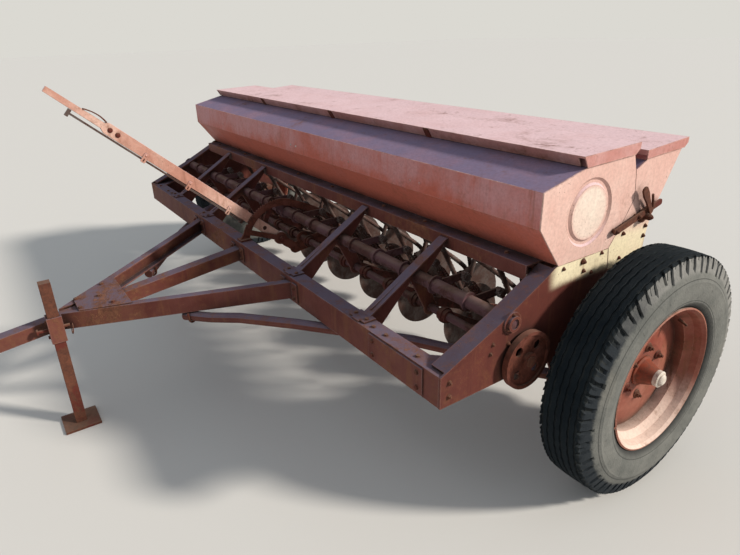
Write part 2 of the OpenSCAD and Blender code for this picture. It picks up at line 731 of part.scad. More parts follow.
// Hand lever, its toothed quadrant and the link to the rockshaft
function along_lever(d, off) =
    lever_pivot + d * [-cos(lever_slope), sin(lever_slope)] + off * [sin(lever_slope), cos(lever_slope)];
lever_w = 50;
lever_boss_r = 34;
lever_splice = 980;
grip_from = lever_splice + 20;
quad_r = 212;
quad_x = lever_t / 2 + seat;
module lift_lever() {
    on_axle(red_light)
        across(-lever_t / 2, lever_t / 2)
            difference() {
                union() {
                    disc2d(lever_pivot, lever_boss_r);
                    polygon([along_lever(0, lever_w / 2), along_lever(lever_splice, lever_w / 2),
                        along_lever(grip_from, 14), along_lever(lever_len, 12),
                        along_lever(lever_len, -12), along_lever(grip_from, -14),
                        along_lever(lever_splice, -lever_w / 2), along_lever(0, -lever_w / 2)]);
                }
                disc2d(lever_pivot, pin_r + run);
                disc2d(lever_pivot + crank, link_pin_r + run);
            }
}
module latch_rod() {
    on_axle(steel) {
        across(-5, 5) strap(along_lever(quad_r + 34, -34), along_lever(lever_len - 110, -30), 9);
        across(-5, 5) strap(along_lever(lever_len - 112, -46), along_lever(lever_len - 112, -14), 14);
        across(-5, quad_x + plate) strap(along_lever(quad_r + 24, -36), along_lever(quad_r + 40, -36), 20);
    }
}
// The quadrant's toothed arc runs on into a frame whose lower bar hangs on the gang shaft
tooth_step = 4;
quad_rim = 36;
quad_back = [for (q = [[90, 192], [171, 156], [250, 114], [315, 66], [352, 20], [362, -16]]) lever_pivot + q];
quad_bar = [lever_pivot + [332, -26], lever_pivot + [80, -70]];
quad_bar_w = 60;
quad_foot = [[beam_front_y + 8, beam_top_z + seat], [beam_back_y - 2, beam_top_z + seat]];
module quadrant_plate() {
    difference() {
        union() {
            disc2d(lever_pivot, 32);
            intersection() {
                difference() {
                    disc2d(lever_pivot, quad_r);
                    disc2d(lever_pivot, quad_r - quad_rim);
                }
                polygon([lever_pivot, lever_pivot + 2 * (quad_back[0] - lever_pivot),
                    lever_pivot + 2 * quad_r * [-1, 1], [lever_pivot[0] - 2 * quad_r, quad_foot[0][1]],
                    [lever_pivot[0] - 60, quad_foot[0][1]]]);
            }
            folded(quad_back, -quad_rim);
            strap(quad_bar[0], quad_bar[1], quad_bar_w);
            disc2d(quad_bar[0], quad_bar_w / 2);
            disc2d(quad_bar[1], quad_bar_w / 2);
            disc2d(gang, gang_d / 2 + 16);
            strap(lever_pivot, quad_bar[1], 44);
            strap(lever_pivot, lever_pivot + (quad_r - 15) * [-0.9, 0.36], 26);
            polygon(concat(quad_foot, [quad_foot[1] + [0, 40], quad_foot[0] + [32, 40]]));
        }
        disc2d(lever_pivot, pin_r - 0.01);
        disc2d(gang, gang_d / 2 + run);
        for (a = [176 - lever_slope - lever_turn : tooth_step : 190 - lever_slope])
            translate(lever_pivot) rotate(a) translate([quad_r, 0]) rotate(45) square(9, center = true);
    }
}
module lever_quadrant() {
    on_axle(rust) {
        across(quad_x, quad_x + plate) quadrant_plate();
        shaft(lever_pivot, pin_r, -lever_t / 2 - 4, quad_x + plate + 4);
        across(quad_x - 24, quad_x + 30)
            polygon(concat(quad_foot, [quad_foot[1] + [0, plate], quad_foot[0] + [0, plate]]));
    }
}
module lift_link() {
    a = lever_pivot + crank;
    b = rock + crank;
    on_axle(rust) {
        across(link_x, link_x + link_t) {
            strap(a, b, 26);
            disc2d(a, 20);
            disc2d(b, 20);
        }
        shaft(a, link_pin_r, link_x - 4, lever_t / 2);
        shaft(b, link_pin_r, crank_x - 4, link_x + link_t + 4);
    }
}
module rockshaft() {
    on_axle(rust) {
        shaft(rock, rock_d / 2, -plate_in + flange_w / 2, plate_in - flange_w / 2);
        for (s = [-1, 1])
            shaft(rock, rock_end_r, min(s * (plate_in - flange_w / 2 - 1), s * (hopper_half + 10)),
                max(s * (plate_in - flange_w / 2 - 1), s * (hopper_half + 10)));
        across(crank_x, crank_x + crank_t)
            difference() {
                union() {
                    disc2d(rock, rock_d / 2 + 12);
                    strap(rock, rock + crank, 36);
                    disc2d(rock + crank, 20);
                }
                disc2d(rock + crank, link_pin_r + run);
            }
        for (i = rows) across(row_x(i) + arm_off, row_x(i) + arm_off + arm_t)
            difference() {
                union() {
                    disc2d(rock, rock_d / 2 + 10);
                    strap(rock, arm_end, 30);
                    disc2d(arm_end, 17);
                }
                disc2d(arm_end, 7 + run);
            }
    }
}

// Pressure rods slide in swivels at the arm ends; a spring on each bears down on its drag bar
rod_dir = unit(arm_end - rod_pin);
rod_len = norm(arm_end - rod_pin);
rod_tilt = atan2(rod_dir[1], rod_dir[0]);
module on_rod(x) {
    translate([x + rod_off, rod_pin[0], rod_pin[1]]) rotate([rod_tilt - 90, 0, 0]) children();
}
module swivels() {
    on_axle(steel)
        for (i = rows) {
            on_rod(row_x(i)) difference() {
                translate([-swivel_w / 2, -15, rod_len - 12]) cube([swivel_w, 30, 24]);
                translate([0, 0, rod_len - 13]) cylinder(r = swivel_hole_r, h = 26, $fn = 32);
            }
            shaft(arm_end, 7, row_x(i) + arm_off - 4, row_x(i) + rod_off - swivel_w / 2 + 0.5);
        }
}
module pressure_rods() {
    on_axle(steel)
        for (i = rows) {
            on_rod(row_x(i)) {
                translate([0, 0, 10]) cylinder(r = rod_r, h = rod_len + 14, $fn = 32);
                translate([0, 0, rod_len + 12.3]) cylinder(r = 12.7, h = 4, $fn = 32);
                translate([0, 0, rod_len + 16]) cylinder(r = 9, h = 8, $fn = 6);
                translate([0, 0, 40]) cylinder(r = 20, h = 8, $fn = 32);
            }
            across(row_x(i) + drag_t / 2 + 1, row_x(i) + rod_off + rod_r + 2)
                difference() {
                    disc2d(rod_pin, 16);
                    disc2d(rod_pin, 8 + run);
                }
        }
}
spring_turns = 12;
module pressure_springs() {
    spring_len = rod_len - 12 - 48 - 32;
    step = spring_len / spring_turns;
    outline = concat([[rod_r + seat, 0]],
        [for (k = [0 : spring_turns - 1], q = [[13, 0.1], [18, 0.3], [18, 0.7], [13, 0.9]])
            [q[0], (k + q[1]) * step]], [[rod_r + seat, spring_len]]);
    on_axle(rust)
        for (i = rows)
            on_rod(row_x(i)) translate([0, 0, 48 + seat]) rotate_extrude($fn = 32) polygon(outline);
}

// Openers: drag bars turn on the gang shaft; each bar's end goes into the slot of a boot with a disc blade
drag_w = 40;
boot_w = 36;
blade_hub_r = 30;
function drag_end(i) = [boot_y[i % 2] - 30, boot_top - 80];
module drag_bars() {
    on_axle(rust)
        for (i = rows) {
            across(row_x(i) - drag_t / 2, row_x(i) + drag_t / 2)
                difference() {
                    union() {
                        disc2d(gang, 32);
                        strap(gang, drag_end(i), drag_w);
                        disc2d(rod_pin, 22);
                    }
                    disc2d(gang, gang_d / 2 + run);
                    disc2d(drag_end(i), 8);
                }
            shaft(rod_pin, 8, row_x(i), row_x(i) + rod_off + 10);
            difference() {
                shaft(gang, 26, row_x(i) - 22, row_x(i) + 22);
                shaft(gang, gang_d / 2 + run, row_x(i) - 23, row_x(i) + 23);
            }
        }
}
module boot(x, y) {
    difference() {
        union() {
            across(x - boot_w / 2, x + boot_w / 2)
                polygon([[y - 52, boot_top], [y + 52, boot_top], [y + 50, boot_top - 50],
                    [y + 34, boot_top - 100], [y + 60, disc_z - 120], [y + 30, disc_z - 130],
                    [y - 10, disc_z - 40], [y - 60, boot_top - 95], [y - 60, boot_top - 45]]);
            shaft([y + 5, disc_z], blade_hub_r, x - boot_w / 2, x + boot_w / 2 + 2);
            for (s = [-1, 1])
                translate([x, y + s * tube_split, boot_top - 50]) cylinder(r = tube_r + 9, h = 50, $fn = 32);
        }
        for (s = [-1, 1])
            translate([x, y + s * tube_split, boot_top - 34]) cylinder(r = tube_r + 5, h = 40, $fn = 32);
        translate([x - drag_t / 2 - seat, y - 80, boot_top - 120]) cube([drag_t + 2 * seat, 75, 84]);
    }
}
module seed_boots() {
    on_axle(rust)
        for (i = rows) boot(row_x(i), boot_y[i % 2]);
}
module disc_blades() {
    r = disc_d / 2;
    on_axle(steel)
        for (i = rows)
            translate([row_x(i) + boot_w / 2 + 2 + seat, boot_y[i % 2] + 5, disc_z]) rotate([0, 90, 0])
                rotate_extrude($fn = 72)
                    polygon([[0, 0], [blade_hub_r, 0], [34, 12], [70, 14], [r, 30], [r, 32], [68, 18],
                        [40, 17], [34, 26], [0, 28]]);
}

front_beam();
end_frame_right();
end_frame_left();
sloped_rails();
hopper_rail();
rear_beam();
tongue_bar_right();
tongue_bar_left();
tongue_middle_bar();
hitch_clevis();
draft_brace_right();
draft_brace_left();
stand_sleeve();
grain_box();
fertiliser_box();
grain_box_end_right();
grain_box_end_left();
fertiliser_box_end_right();
fertiliser_box_end_left();
feed_cups();
fertiliser_cups();
feed_shafts();
seed_tubes();
fertiliser_tubes();
gang_shaft();
drive_disc_right();
drive_disc_left();
lever_quadrant();
axle_right();
axle_left();
tyre_right();
rim_right();
hub_right();
tyre_left();
rim_left();
hub_left();
grain_lid();
fertiliser_lid();
lift_lever();
latch_rod();
lift_link();
rockshaft();
swivels();
pressure_rods();
pressure_springs();
drag_bars();
seed_boots();
disc_blades();
parking_stand();
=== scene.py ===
"""The looks of a towed grain and fertiliser drill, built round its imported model.

Lengths are in metres. X is the width, the drawbar points to -Y and Z is up, as in the model.
"""

import json
import math
import random

import bpy
from mathutils import Matrix, Vector


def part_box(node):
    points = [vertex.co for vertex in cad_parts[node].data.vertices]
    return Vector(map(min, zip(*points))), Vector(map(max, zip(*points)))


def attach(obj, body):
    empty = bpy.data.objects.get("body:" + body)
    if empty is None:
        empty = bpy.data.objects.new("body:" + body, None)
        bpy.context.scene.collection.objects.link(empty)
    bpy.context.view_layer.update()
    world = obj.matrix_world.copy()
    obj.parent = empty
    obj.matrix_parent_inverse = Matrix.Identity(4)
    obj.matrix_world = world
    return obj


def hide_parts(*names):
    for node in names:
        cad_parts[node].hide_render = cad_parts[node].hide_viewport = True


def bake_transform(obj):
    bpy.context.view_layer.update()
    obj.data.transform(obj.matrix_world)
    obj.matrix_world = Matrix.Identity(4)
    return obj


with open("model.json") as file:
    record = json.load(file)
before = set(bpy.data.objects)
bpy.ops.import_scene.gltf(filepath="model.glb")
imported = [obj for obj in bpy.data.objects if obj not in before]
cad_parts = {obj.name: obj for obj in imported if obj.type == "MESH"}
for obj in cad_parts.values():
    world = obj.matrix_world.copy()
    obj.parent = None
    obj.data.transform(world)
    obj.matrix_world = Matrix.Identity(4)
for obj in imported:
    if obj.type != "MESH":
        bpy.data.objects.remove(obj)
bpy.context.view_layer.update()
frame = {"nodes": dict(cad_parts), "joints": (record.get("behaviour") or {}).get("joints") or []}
nodes = frame["nodes"]
joints = {joint["name"]: joint for joint in frame["joints"]}


def joint_at(name):
    return Vector(joints[name]["pos_m"])


# Places that the model gives
AXLE = joint_at("wheel_right_spin")
ROCKSHAFT = joint_at("rockshaft_hinge")
GANG_SHAFT = joint_at("opener_hinge")
LEVER_PIVOT = joint_at("lift_lever_hinge")
ROD_PIN = joint_at("rod_hinge")
ARM_END = joint_at("swivel_hinge")
SIDE_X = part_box("grain_box_end_right")[1].x

# The sides, the rows of openers, and directions
SIDES = {"right": 1, "left": -1}
ROWS = 16
ROW_PITCH = 0.178
UP = (0, 0, 1)
FRONT = (0, -1, 0)
BACK = (0, 1, 0)


def row_x(i):
    """The place of a row of openers across the drill."""
    return (i - (ROWS - 1) / 2) * ROW_PITCH


def at_axle(x, y, z):
    """A point whose Y is counted from the wheels' axle."""
    return Vector((x, y + AXLE.y, z))


def mm(x, y, z):
    """The same, from millimetres."""
    return at_axle(x / 1000, y / 1000, z / 1000)


def along_x(x):
    return Vector((x, 0, 0))


def spoke(x, radius, degrees):
    """The way from a shaft's middle to a place on a circle round it, counted from the back upwards."""
    a = math.radians(degrees)
    return Vector((x, radius * math.cos(a), radius * math.sin(a)))


# Materials


class Shader:
    """A material's node tree, written as nested calls.

    x, y and z are the place on the object, and out_x, out_y and out_z the way its surface faces.
    """

    def __init__(self, name):
        self.mat = bpy.data.materials.new(name)
        self.mat.use_nodes = True
        self.tree = self.mat.node_tree
        self.tree.nodes.clear()
        self.bsdf = self.node("BsdfPrincipled")
        self.node("OutputMaterial", Surface=self.bsdf.outputs[0])
        coords = self.node("TexCoord")
        self.place = coords.outputs["Object"]
        self.x, self.y, self.z = self.node("SeparateXYZ", Vector=self.place).outputs
        self.out_x, self.out_y, self.out_z = self.node("SeparateXYZ", Vector=coords.outputs["Normal"]).outputs

    def put(self, socket, value):
        """Links a socket to another one's value, or sets its constant; colours are made opaque."""
        if isinstance(value, bpy.types.NodeSocket):
            self.tree.links.new(value, socket)
        elif socket.type == "RGBA":
            socket.default_value = (*value, 1.0)
        else:
            socket.default_value = value

    def fill(self, node, values):
        """Puts values in a node's sockets by name, with _ for a space."""
        for name, value in values.items():
            self.put(node.inputs[name.replace("_", " ")], value)

    def node(self, kind, **values):
        node = self.tree.nodes.new("ShaderNode" + kind)
        self.fill(node, values)
        return node

    def made(self, **values):
        """The material, with values put in the shader's own sockets."""
        self.fill(self.bsdf, values)
        return self.mat

    def scaled(self, x, y, z):
        """The place, scaled so that noise made from it is drawn out where the scale is small."""
        return self.node("Mapping", Vector=self.place, Scale=(x, y, z)).outputs[0]

    def noise(self, scale, detail, rough, place=None, warp=0.0):
        """Clouds about as large as a metre divided by the scale, mostly between 0.3 and 0.7."""
        return self.node("TexNoise", Vector=place or self.place, Scale=scale, Detail=detail,
                         Roughness=rough, Distortion=warp).outputs["Fac"]

    def cells(self, scale):
        """Distance from the middles of small cells."""
        return self.node("TexVoronoi", Vector=self.place, Scale=scale).outputs["Distance"]

    def maths(self, operation, a, b=0.0):
        node = self.node("Math")
        node.operation = operation
        self.put(node.inputs[0], a)
        self.put(node.inputs[1], b)
        return node.outputs[0]

    def plus(self, a, b):
        return self.maths("ADD", a, b)

    def minus(self, a, b):
        return self.maths("SUBTRACT", a, b)

    def times(self, a, b):
        return self.maths("MULTIPLY", a, b)

    def larger(self, a, b):
        return self.maths("MAXIMUM", a, b)

    def far(self, y, z):
        """Distance from a line along X."""
        dy = self.minus(self.y, y)
        dz = self.minus(self.z, z)
        return self.maths("SQRT", self.plus(self.times(dy, dy), self.times(dz, dz)))

    def span(self, value, low, high, to_low=0.0, to_high=1.0):
        """A soft step: to_low where the value is at low or past it, to_high at high or past it."""
        node = self.node("MapRange", Value=value, From_Min=low, From_Max=high, To_Min=to_low, To_Max=to_high)
        node.interpolation_type = "SMOOTHSTEP"
        return node.outputs[0]

    def mix(self, share, a, b):
        """Colour a, or colour b by its share."""
        node = self.node("Mix", Factor=share)
        node.data_type = "RGBA"
        self.put(node.inputs[6], a)
        self.put(node.inputs[7], b)
        return node.outputs[2]

    def bump(self, height, distance, strength, under=None):
        """A normal that shows a height, with another normal under it."""
        node = self.node("Bump", Height=height, Distance=distance, Strength=strength)
        if under is not None:
            self.put(node.inputs["Normal"], under)
        return node.outputs[0]

    def edges(self, radius):
        """1 on sharp edges, 0 on flat ground."""
        bevel = self.node("Bevel", Radius=radius)
        bevel.samples = 4
        dot = self.node("VectorMath")
        dot.operation = "DOT_PRODUCT"
        self.put(dot.inputs[0], bevel.outputs[0])
        self.put(dot.inputs[1], self.node("NewGeometry").outputs["Normal"])
        return self.span(dot.outputs["Value"], 0.995, 0.86)

    def nooks(self, distance):
        """1 where another surface stands close, 0 in the open."""
        node = self.node("AmbientOcclusion", Distance=distance)
        node.samples = 5
        return self.span(node.outputs["AO"], 0.9, 0.4)


# Colours, as linear red, green and blue
RUST_DARK = (0.085, 0.038, 0.026)
RUST = (0.19, 0.075, 0.035)
RUST_LIGHT = (0.27, 0.115, 0.062)
DUST = (0.36, 0.28, 0.21)
# Dark colour put in nooks, partly dirt and partly painted shade
GRIME_AND_SHADE = (0.035, 0.022, 0.018)
RUBBED_STEEL = (0.34, 0.3, 0.28)

# Middle and radius of the round plate in a box end, and where the pale strip of an end frame starts, a strip
# that is partly paler paint and partly painted sunlight
RING_AT = (AXLE.y - 0.193, 1.061)
RING_R = 0.096
STRIP_Y = AXLE.y - 0.335

# Where a hub's bare cap starts, counted from the wheel's middle
HUB_CAP_FROM = 0.0602

# Radii on a tyre's side: where the shade by the bead ends, where the shoulder starts, and two fine lines
BEAD_SHADE = 0.31
SHOULDER_SHADE = 0.414
SIDE_LINES = (0.386, 0.307)


def faded_patches(s, mottle, sunny):
    """How far the paint has faded from place to place."""
    patches = s.plus(s.times(s.noise(1.3, 4, 0.62), 0.6), s.times(mottle, 0.4))
    if sunny:
        patches = s.plus(patches, s.span(s.z, *sunny, -0.07, 0.08))
    return patches


def enamel(s, patches, base, faded):
    """Paint in its two tones, with streaks of both down its sides."""
    colour = s.mix(s.span(patches, 0.38, 0.62), base, faded)
    pale_streaks = s.noise(1.0, 6, 0.65, s.scaled(19, 19, 1.4))
    colour = s.mix(s.span(pale_streaks, 0.5, 0.74, 0, 0.4), colour, faded)
    deep_streaks = s.noise(0.8, 5, 0.7, s.scaled(31, 31, 2.1))
    return s.mix(s.span(deep_streaks, 0.54, 0.7, 0, 0.45), colour, base)


def add_painted_fill_light(s, colour, patches, painted_fill_colour):
    """Painted fill light: brighter paint where the front leans down and little light reaches."""
    down = s.span(s.out_z, -0.2, -0.4)
    front = s.span(s.out_y, -0.3, -0.6)
    share = s.times(s.times(down, front), s.span(patches, 0.36, 0.56, 0.85, 0.35))
    return s.mix(share, colour, painted_fill_colour)


def add_pale_sunlit_strip(s, colour, outward, pale, low, high, start=None):
    """A pale colour that comes in from one height to the other, and only behind the place start in Y: partly
    paler paint and partly painted sunlight.
    """
    height = s.plus(s.z, s.times(s.noise(9, 5, 0.7), 0.03))
    share = s.times(s.span(height, low, high), s.span(s.noise(6, 6, 0.7), 0.2, 0.55, 0.65, 0.97))
    if start is not None:
        reach = s.plus(s.y, s.times(s.noise(14, 5, 0.7), 0.02))
        share = s.times(share, s.span(reach, start - 0.03, start + 0.03))
    return s.mix(s.times(share, outward), colour, pale)


def add_spot(s, colour, outward, mottle, pale, y, z, radius):
    """A round patch of another colour."""
    share = s.times(s.span(s.far(y, z), radius, radius - 0.02), outward)
    return s.mix(s.times(share, s.span(mottle, 0.3, 0.6, 0.9, 0.55)), colour, pale)


def add_rust(s, colour, mottle, rusting, damp):
    """The colour with rust in blotches, runs and chips and on worn edges, and where that rust lies."""
    blotch = s.noise(2.7, 9, 0.74, warp=0.7)
    spots = s.noise(41, 5, 0.78)
    mask = s.plus(s.times(blotch, 0.7), s.times(spots, 0.3))
    if damp:
        low, high, amount = damp
        mask = s.plus(mask, s.span(s.z, high, low, 0, amount))
    bite = 0.63 - 0.2 * rusting
    rust = s.span(mask, bite, bite + 0.045)
    colour = s.mix(s.span(mask, bite - 0.08, bite + 0.04, 0, 0.45), colour, RUST)
    runs = s.noise(1.0, 7, 0.72, s.scaled(13, 13, 0.8))
    colour = s.mix(s.span(runs, bite - 0.03, bite + 0.07, 0, 0.4), colour, RUST)
    chips = s.times(s.span(s.noise(120, 3, 0.6), 0.64, 0.67), s.span(mottle, 0.5, 0.6))
    worn = s.times(s.edges(0.004), s.span(s.noise(13, 5, 0.75), 0.42, 0.6))
    bare = s.larger(s.larger(rust, worn), s.times(chips, 0.8))
    tone = s.mix(s.span(s.noise(24, 6, 0.78), 0.3, 0.7), RUST_DARK, RUST_LIGHT)
    return s.mix(s.times(bare, 0.85), colour, tone), bare


def add_dirt_and_nook_shade(s, colour, fine, nook_darkening):
    """Fine stains all over, darkening in the nooks that is partly dirt and partly painted shade, and dust
    near the ground.
    """
    colour = s.mix(s.span(fine, 0.35, 0.72, 0, 0.2), colour, RUST_DARK)
    # Darkening where other surfaces stand close: partly dirt and partly painted shade
    grime_and_shade = s.times(s.nooks(0.07), s.span(s.noise(9, 5, 0.7), 0.25, 0.6, nook_darkening / 2, nook_darkening))
    colour = s.mix(grime_and_shade, colour, GRIME_AND_SHADE)
    low = s.span(s.z, 0.6, 0.1, 0, 0.25)
    return s.mix(s.times(low, s.noise(11, 5, 0.7)), colour, DUST)


def paint(name, base, faded, top, rusting, chalk_and_sky_amount=1.0, edge=None, pale_sunlit_strip=None, spot=None, damp=None,
          sunny=None, painted_fill_colour=None, nook_darkening=0.9):
    """Old enamel: faded in patches, paler where it faces up, streaked, with rust through it.

    top is what it turns to where it faces up: powdery faded paint, with a painted sky reflection on the box
    and frame and painted sunlight on the rim. edge is the colour left on its folds. bleach and spot are
    colours on its outward side, with where they come in; bleach is partly paler paint and partly painted
    sunlight. damp and sunny are heights between which it rusts and fades more. sheltered is painted fill
    light, a brighter colour where its front leans down. grimy is how dark nooks are, partly dirt and partly
    painted shade.
    """
    s = Shader(name)
    mottle = s.noise(6.5, 6, 0.72, warp=0.5)
    patches = faded_patches(s, mottle, sunny)
    fine = s.noise(85, 6, 0.72)
    colour = enamel(s, patches, base, faded)
    if painted_fill_colour:
        colour = add_painted_fill_light(s, colour, patches, painted_fill_colour)
    # Paler where the surface faces up: powdery faded paint, and on the box and frame a painted sky reflection
    up = s.span(s.out_z, 0.2, 0.7)
    chalk_and_sky_tint = s.times(up, s.span(s.noise(4.2, 7, 0.72), 0.25, 0.6, 0.72 * chalk_and_sky_amount, chalk_and_sky_amount))
    colour = s.mix(chalk_and_sky_tint, colour, top)
    outward = s.span(s.times(s.x, s.out_x), 0.8, 1.2)
    if pale_sunlit_strip:
        colour = add_pale_sunlit_strip(s, colour, outward, *pale_sunlit_strip)
    if spot:
        colour = add_spot(s, colour, outward, mottle, *spot)
    if edge:
        worn = s.times(s.edges(0.006), s.span(s.noise(17, 5, 0.7), 0.3, 0.55, 0.15, 0.8))
        colour = s.mix(worn, colour, edge)
    colour, bare = add_rust(s, colour, mottle, rusting, damp)
    colour = add_dirt_and_nook_shade(s, colour, fine, nook_darkening)
    height = s.plus(s.times(fine, 0.3), s.times(bare, 0.7))
    dents = s.bump(s.noise(3.4, 2, 0.5), 0.02, 0.35)
    dents = s.bump(s.noise(11, 2, 0.4), 0.004, 0.3, dents)
    dull = s.larger(bare, chalk_and_sky_tint)
    return s.made(Base_Color=colour, Roughness=s.span(dull, 0, 1, 0.58, 0.93), Specular_IOR_Level=0.15,
                  Normal=s.bump(height, 0.0014, 0.7, dents))


def rusty(name, dark, light, remains, amount):
    """Bare iron gone to rust, with an amount of paint left in patches."""
    s = Shader(name)
    grain = s.noise(55, 8, 0.78)
    patches = s.noise(7, 6, 0.68, warp=0.4)
    colour = s.mix(s.span(grain, 0.3, 0.72), dark, light)
    left = s.span(patches, 0.62 - 0.2 * amount, 0.7 - 0.2 * amount, 0, 0.85)
    colour = s.mix(left, colour, remains)
    up = s.span(s.out_z, 0.35, 0.9, 0, 0.35)
    colour = s.mix(s.times(up, s.noise(13, 5, 0.7)), colour, DUST)
    pits = s.plus(grain, s.times(s.noise(190, 4, 0.7), 0.6))
    return s.made(Base_Color=colour, Roughness=0.86, Specular_IOR_Level=0.15,
                  Normal=s.bump(pits, 0.0016, 0.8))


def worn_steel(name, bright, brown, metal=0.5):
    """Steel stained brown, with its bright metal left where it rubs."""
    s = Shader(name)
    patches = s.noise(14, 7, 0.72, warp=0.3)
    rubbed = s.times(s.edges(0.003), s.span(s.noise(30, 4, 0.7), 0.35, 0.6, 0, 0.8))
    colour = s.mix(s.span(patches, 0.36, 0.58), bright, brown)
    colour = s.mix(s.span(s.noise(60, 5, 0.75), 0.45, 0.7, 0, 0.7), colour, RUST_DARK)
    colour = s.mix(rubbed, colour, RUBBED_STEEL)
    return s.made(Base_Color=colour, Metallic=metal, Roughness=s.span(patches, 0.3, 0.7, 0.48, 0.85),
                  Normal=s.bump(s.noise(120, 6, 0.75), 0.001, 0.7))


def hub_metal(name):
    """Pale bare metal on the hub's cap, old paint on its cone."""
    s = Shader(name)
    along = s.minus(s.maths("ABSOLUTE", s.x), AXLE.x)
    grain = s.noise(38, 6, 0.75)
    metal = s.mix(s.span(grain, 0.3, 0.65), (0.4, 0.32, 0.26), (0.68, 0.62, 0.55))
    old = s.mix(s.span(grain, 0.35, 0.6), (0.26, 0.05, 0.022), (0.17, 0.05, 0.028))
    colour = s.mix(s.span(along, HUB_CAP_FROM - 0.0004, HUB_CAP_FROM + 0.0004), old, metal)
    colour = s.mix(s.span(s.noise(70, 5, 0.78), 0.54, 0.7, 0, 0.75), colour, RUST_DARK)
    return s.made(Base_Color=colour, Roughness=s.span(grain, 0.3, 0.7, 0.5, 0.8), Specular_IOR_Level=0.25,
                  Normal=s.bump(grain, 0.001, 0.6))


def add_shoulder(s, colour, radius, fine):
    """A ragged dark shoulder, with painted sunlight making it paler towards its top and back."""
    # Painted sunlight: paler towards the back and top, where the light comes from, and dark as painted shade
    # elsewhere
    back = s.times(s.minus(s.y, AXLE.y), 0.64)
    high = s.times(s.minus(s.z, AXLE.z), 0.77)
    painted_sun_share = s.span(s.plus(s.plus(back, high), s.times(s.noise(9, 5, 0.7), 0.3)), 0.12, 0.4)
    ragged = s.plus(radius, s.times(s.noise(34, 6, 0.8), 0.03))
    share = s.span(ragged, SHOULDER_SHADE, SHOULDER_SHADE + 0.018)
    pale_shoulder = s.mix(fine, (0.11, 0.112, 0.108), (0.3, 0.29, 0.27))
    return s.mix(share, colour, s.mix(painted_sun_share, (0.016, 0.021, 0.026), pale_shoulder))


def rubber_side(name):
    """Old side wall: grey with dust, cracked, with painted shade by the rim, and a dark shoulder that painted
    sunlight makes paler towards its top and back.
    """
    s = Shader(name)
    radius = s.far(AXLE.y, AXLE.z)
    fine = s.noise(1.0, 6, 0.75, s.scaled(60, 60, 60))
    dusty = s.span(s.noise(6, 6, 0.7), 0.28, 0.7)
    colour = s.mix(dusty, (0.1, 0.104, 0.097), (0.17, 0.17, 0.156))
    # Painted shade on the side wall near the bead
    colour = s.mix(s.span(radius, BEAD_SHADE, BEAD_SHADE - 0.029), colour, (0.035, 0.036, 0.035))
    colour = s.mix(s.span(fine, 0.5, 0.75, 0, 0.45), colour, (0.04, 0.04, 0.04))
    colour = s.mix(s.span(s.noise(2.6, 5, 0.65), 0.52, 0.74, 0, 0.4), colour, (0.26, 0.24, 0.2))
    colour = add_shoulder(s, colour, radius, fine)
    lines = s.larger(*(s.span(s.maths("ABSOLUTE", s.minus(radius, at)), 0.0022, 0.0008)
                       for at in SIDE_LINES))
    colour = s.mix(s.times(lines, 0.75), colour, (0.03, 0.03, 0.03))
    cracks = s.plus(s.cells(150), s.times(fine, 0.7))
    moulded = s.bump(lines, 0.002, -0.6)
    return s.made(Base_Color=colour, Roughness=0.9, Specular_IOR_Level=0.25,
                  Normal=s.bump(cracks, 0.0014, 0.6, moulded))


def rubber_tread(name):
    """Black tread, worn smooth on its ribs and dusty in its grooves."""
    s = Shader(name)
    groove = s.span(s.far(AXLE.y, AXLE.z), AXLE.z - 0.0025, AXLE.z - 0.009)
    colour = s.mix(s.span(s.noise(9, 6, 0.7), 0.35, 0.7), (0.004, 0.008, 0.0115),
                   (0.01, 0.015, 0.0185))
    dusty = s.times(groove, s.span(s.noise(21, 5, 0.7), 0.35, 0.7, 0.05, 0.25))
    colour = s.mix(dusty, colour, (0.1, 0.095, 0.08))
    worn = s.times(s.edges(0.003), s.span(s.noise(40, 4, 0.7), 0.45, 0.7, 0, 0.4))
    colour = s.mix(worn, colour, (0.07, 0.07, 0.07))
    scuffs = s.plus(s.noise(90, 6, 0.75), s.cells(210))
    return s.made(Base_Color=colour, Roughness=0.85, Specular_IOR_Level=0.15,
                  Normal=s.bump(scuffs, 0.0014, 0.5))


RED_DARK = (0.11, 0.024, 0.018)
RED = (0.46, 0.112, 0.074)
RED_FADED = (0.52, 0.25, 0.25)
ROSE = (0.72, 0.47, 0.4)
# Pinks of the box ends, paler than the front's paint: partly faded paint and partly painted sunlight
END_PINK_AND_SUNLIT = (0.68, 0.42, 0.36)
END_PALE_AND_SUNLIT = (0.78, 0.55, 0.48)
LID_CHALK = (0.76, 0.55, 0.58)
# Tops of the box and frame: powdery faded paint with a painted bluish sky reflection
TOP_CHALK_AND_SKY_TINT = (0.2, 0.16, 0.255)
FRAME_TOP_CHALK_AND_SKY_TINT = (0.135, 0.118, 0.168)
CREAM_AND_SUNLIT = (0.88, 0.78, 0.54)
PALE = (0.84, 0.75, 0.64)

